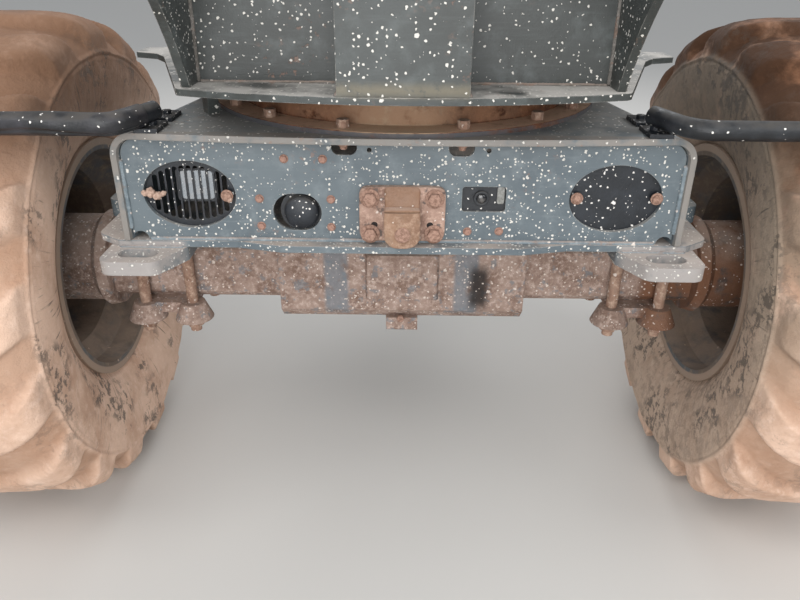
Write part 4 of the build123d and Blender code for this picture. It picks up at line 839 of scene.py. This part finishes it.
# Outer radius, least radius over the tube, height of the folds and depth of the tear, in metres
SLEEVE_R, SLEEVE_LEAST, FOLD, TEAR = 0.0212, 0.0183, 0.0022, 0.0038
FOLD_STRETCH, FOLD_R = 0.35, 0.022
TEAR_TURN, TEAR_WANDER, TEAR_WIDE = 2.6, 0.5, 0.14
sleeve_path = smooth_line(SLEEVE_LINE, SLEEVE_ROWS)
turn_angle = np.arange(SLEEVE_SIDES) * 2 * np.pi / SLEEVE_SIDES
folds = waves(np.stack([
    np.repeat(sleeve_path[:, :1], SLEEVE_SIDES, 1) * FOLD_STRETCH,
    np.broadcast_to(np.cos(turn_angle) * FOLD_R, (SLEEVE_ROWS, SLEEVE_SIDES)),
    np.broadcast_to(np.sin(turn_angle) * FOLD_R, (SLEEVE_ROWS, SLEEVE_SIDES))], -1), 0.05, 30, seed=21)
tear_at = TEAR_TURN + TEAR_WANDER * waves(sleeve_path, 0.3, 10, seed=4)
torn = np.exp(-((turn_angle[None] - tear_at[:, None]) / TEAR_WIDE) ** 2)
sleeve_radius = SLEEVE_R + FOLD * folds - TEAR * torn
carried("arm_sleeve", sleeve_path, (0, 0, 1), np.maximum(sleeve_radius, SLEEVE_LEAST), "front_chassis",
        "black_plastic", SPLIT_SLEEVE, SLEEVE_SIDES)

# Plug bolt under the axle's cover
PLUG_HEAD = ((0, -1), (10, -1), (10, 5), (8.5, 6.5), (0, 6.5))
turned("axle_plug", [(-0.003, fore(110), up(487))], FORWARD, PLUG_HEAD, "front_chassis", "axle_iron",
       RUSTY_FASTENER, hexagon)


# Stage

def quad_sheet(name, corners, material):
    """A flat four-cornered stage piece."""
    mesh = bpy.data.meshes.new(name)
    mesh.from_pydata(corners, [], [(0, 1, 2, 3)])
    mesh.materials.append(material)
    obj = bpy.data.objects.new(name, mesh)
    bpy.context.collection.objects.link(obj)


pale_floor = bpy.data.materials.new("pale studio floor")
pale_floor.use_nodes = True
floor_shade = pale_floor.node_tree.nodes["Principled BSDF"].inputs
floor_shade["Base Color"].default_value = srgb("c9c7c3")
floor_shade["Roughness"].default_value = 0.95
EDGE = 30  # metres from the middle of the floor to its edges
quad_sheet("floor", [(-EDGE, -EDGE, GROUND), (EDGE, -EDGE, GROUND), (EDGE, EDGE, GROUND), (-EDGE, EDGE, GROUND)],
           pale_floor)

world = bpy.data.worlds.new("studio")
bpy.context.scene.world = world
world.use_nodes = True
world.node_tree.nodes["Background"].inputs["Color"].default_value = srgb("dfe3e8")
world.node_tree.nodes["Background"].inputs["Strength"].default_value = 0.7


def lamp(name, place, aim, size, watts):
    """A square soft lamp at place, turned towards aim."""
    data = bpy.data.lights.new(name, "AREA")
    data.size = size
    data.energy = watts
    obj = bpy.data.objects.new(name, data)
    obj.location = place
    obj.rotation_euler = (Vector(aim) - Vector(place)).to_track_quat("-Z", "Y").to_euler()
    bpy.context.collection.objects.link(obj)


UNIT_MIDDLE = (0, -1.3, 0)
lamp("key_lamp", (-2.5, -4.5, 4.5), UNIT_MIDDLE, 3.0, 130)
lamp("fill_lamp", (3.5, -3.5, 2.5), UNIT_MIDDLE, 3.0, 90)
lamp("front_lamp", (-0.4, -7.0, 1.3), UNIT_MIDDLE, 4.0, 230)
lamp("back_lamp", (0.5, 3.0, 3.5), (0, -1.0, 0), 3.0, 120)
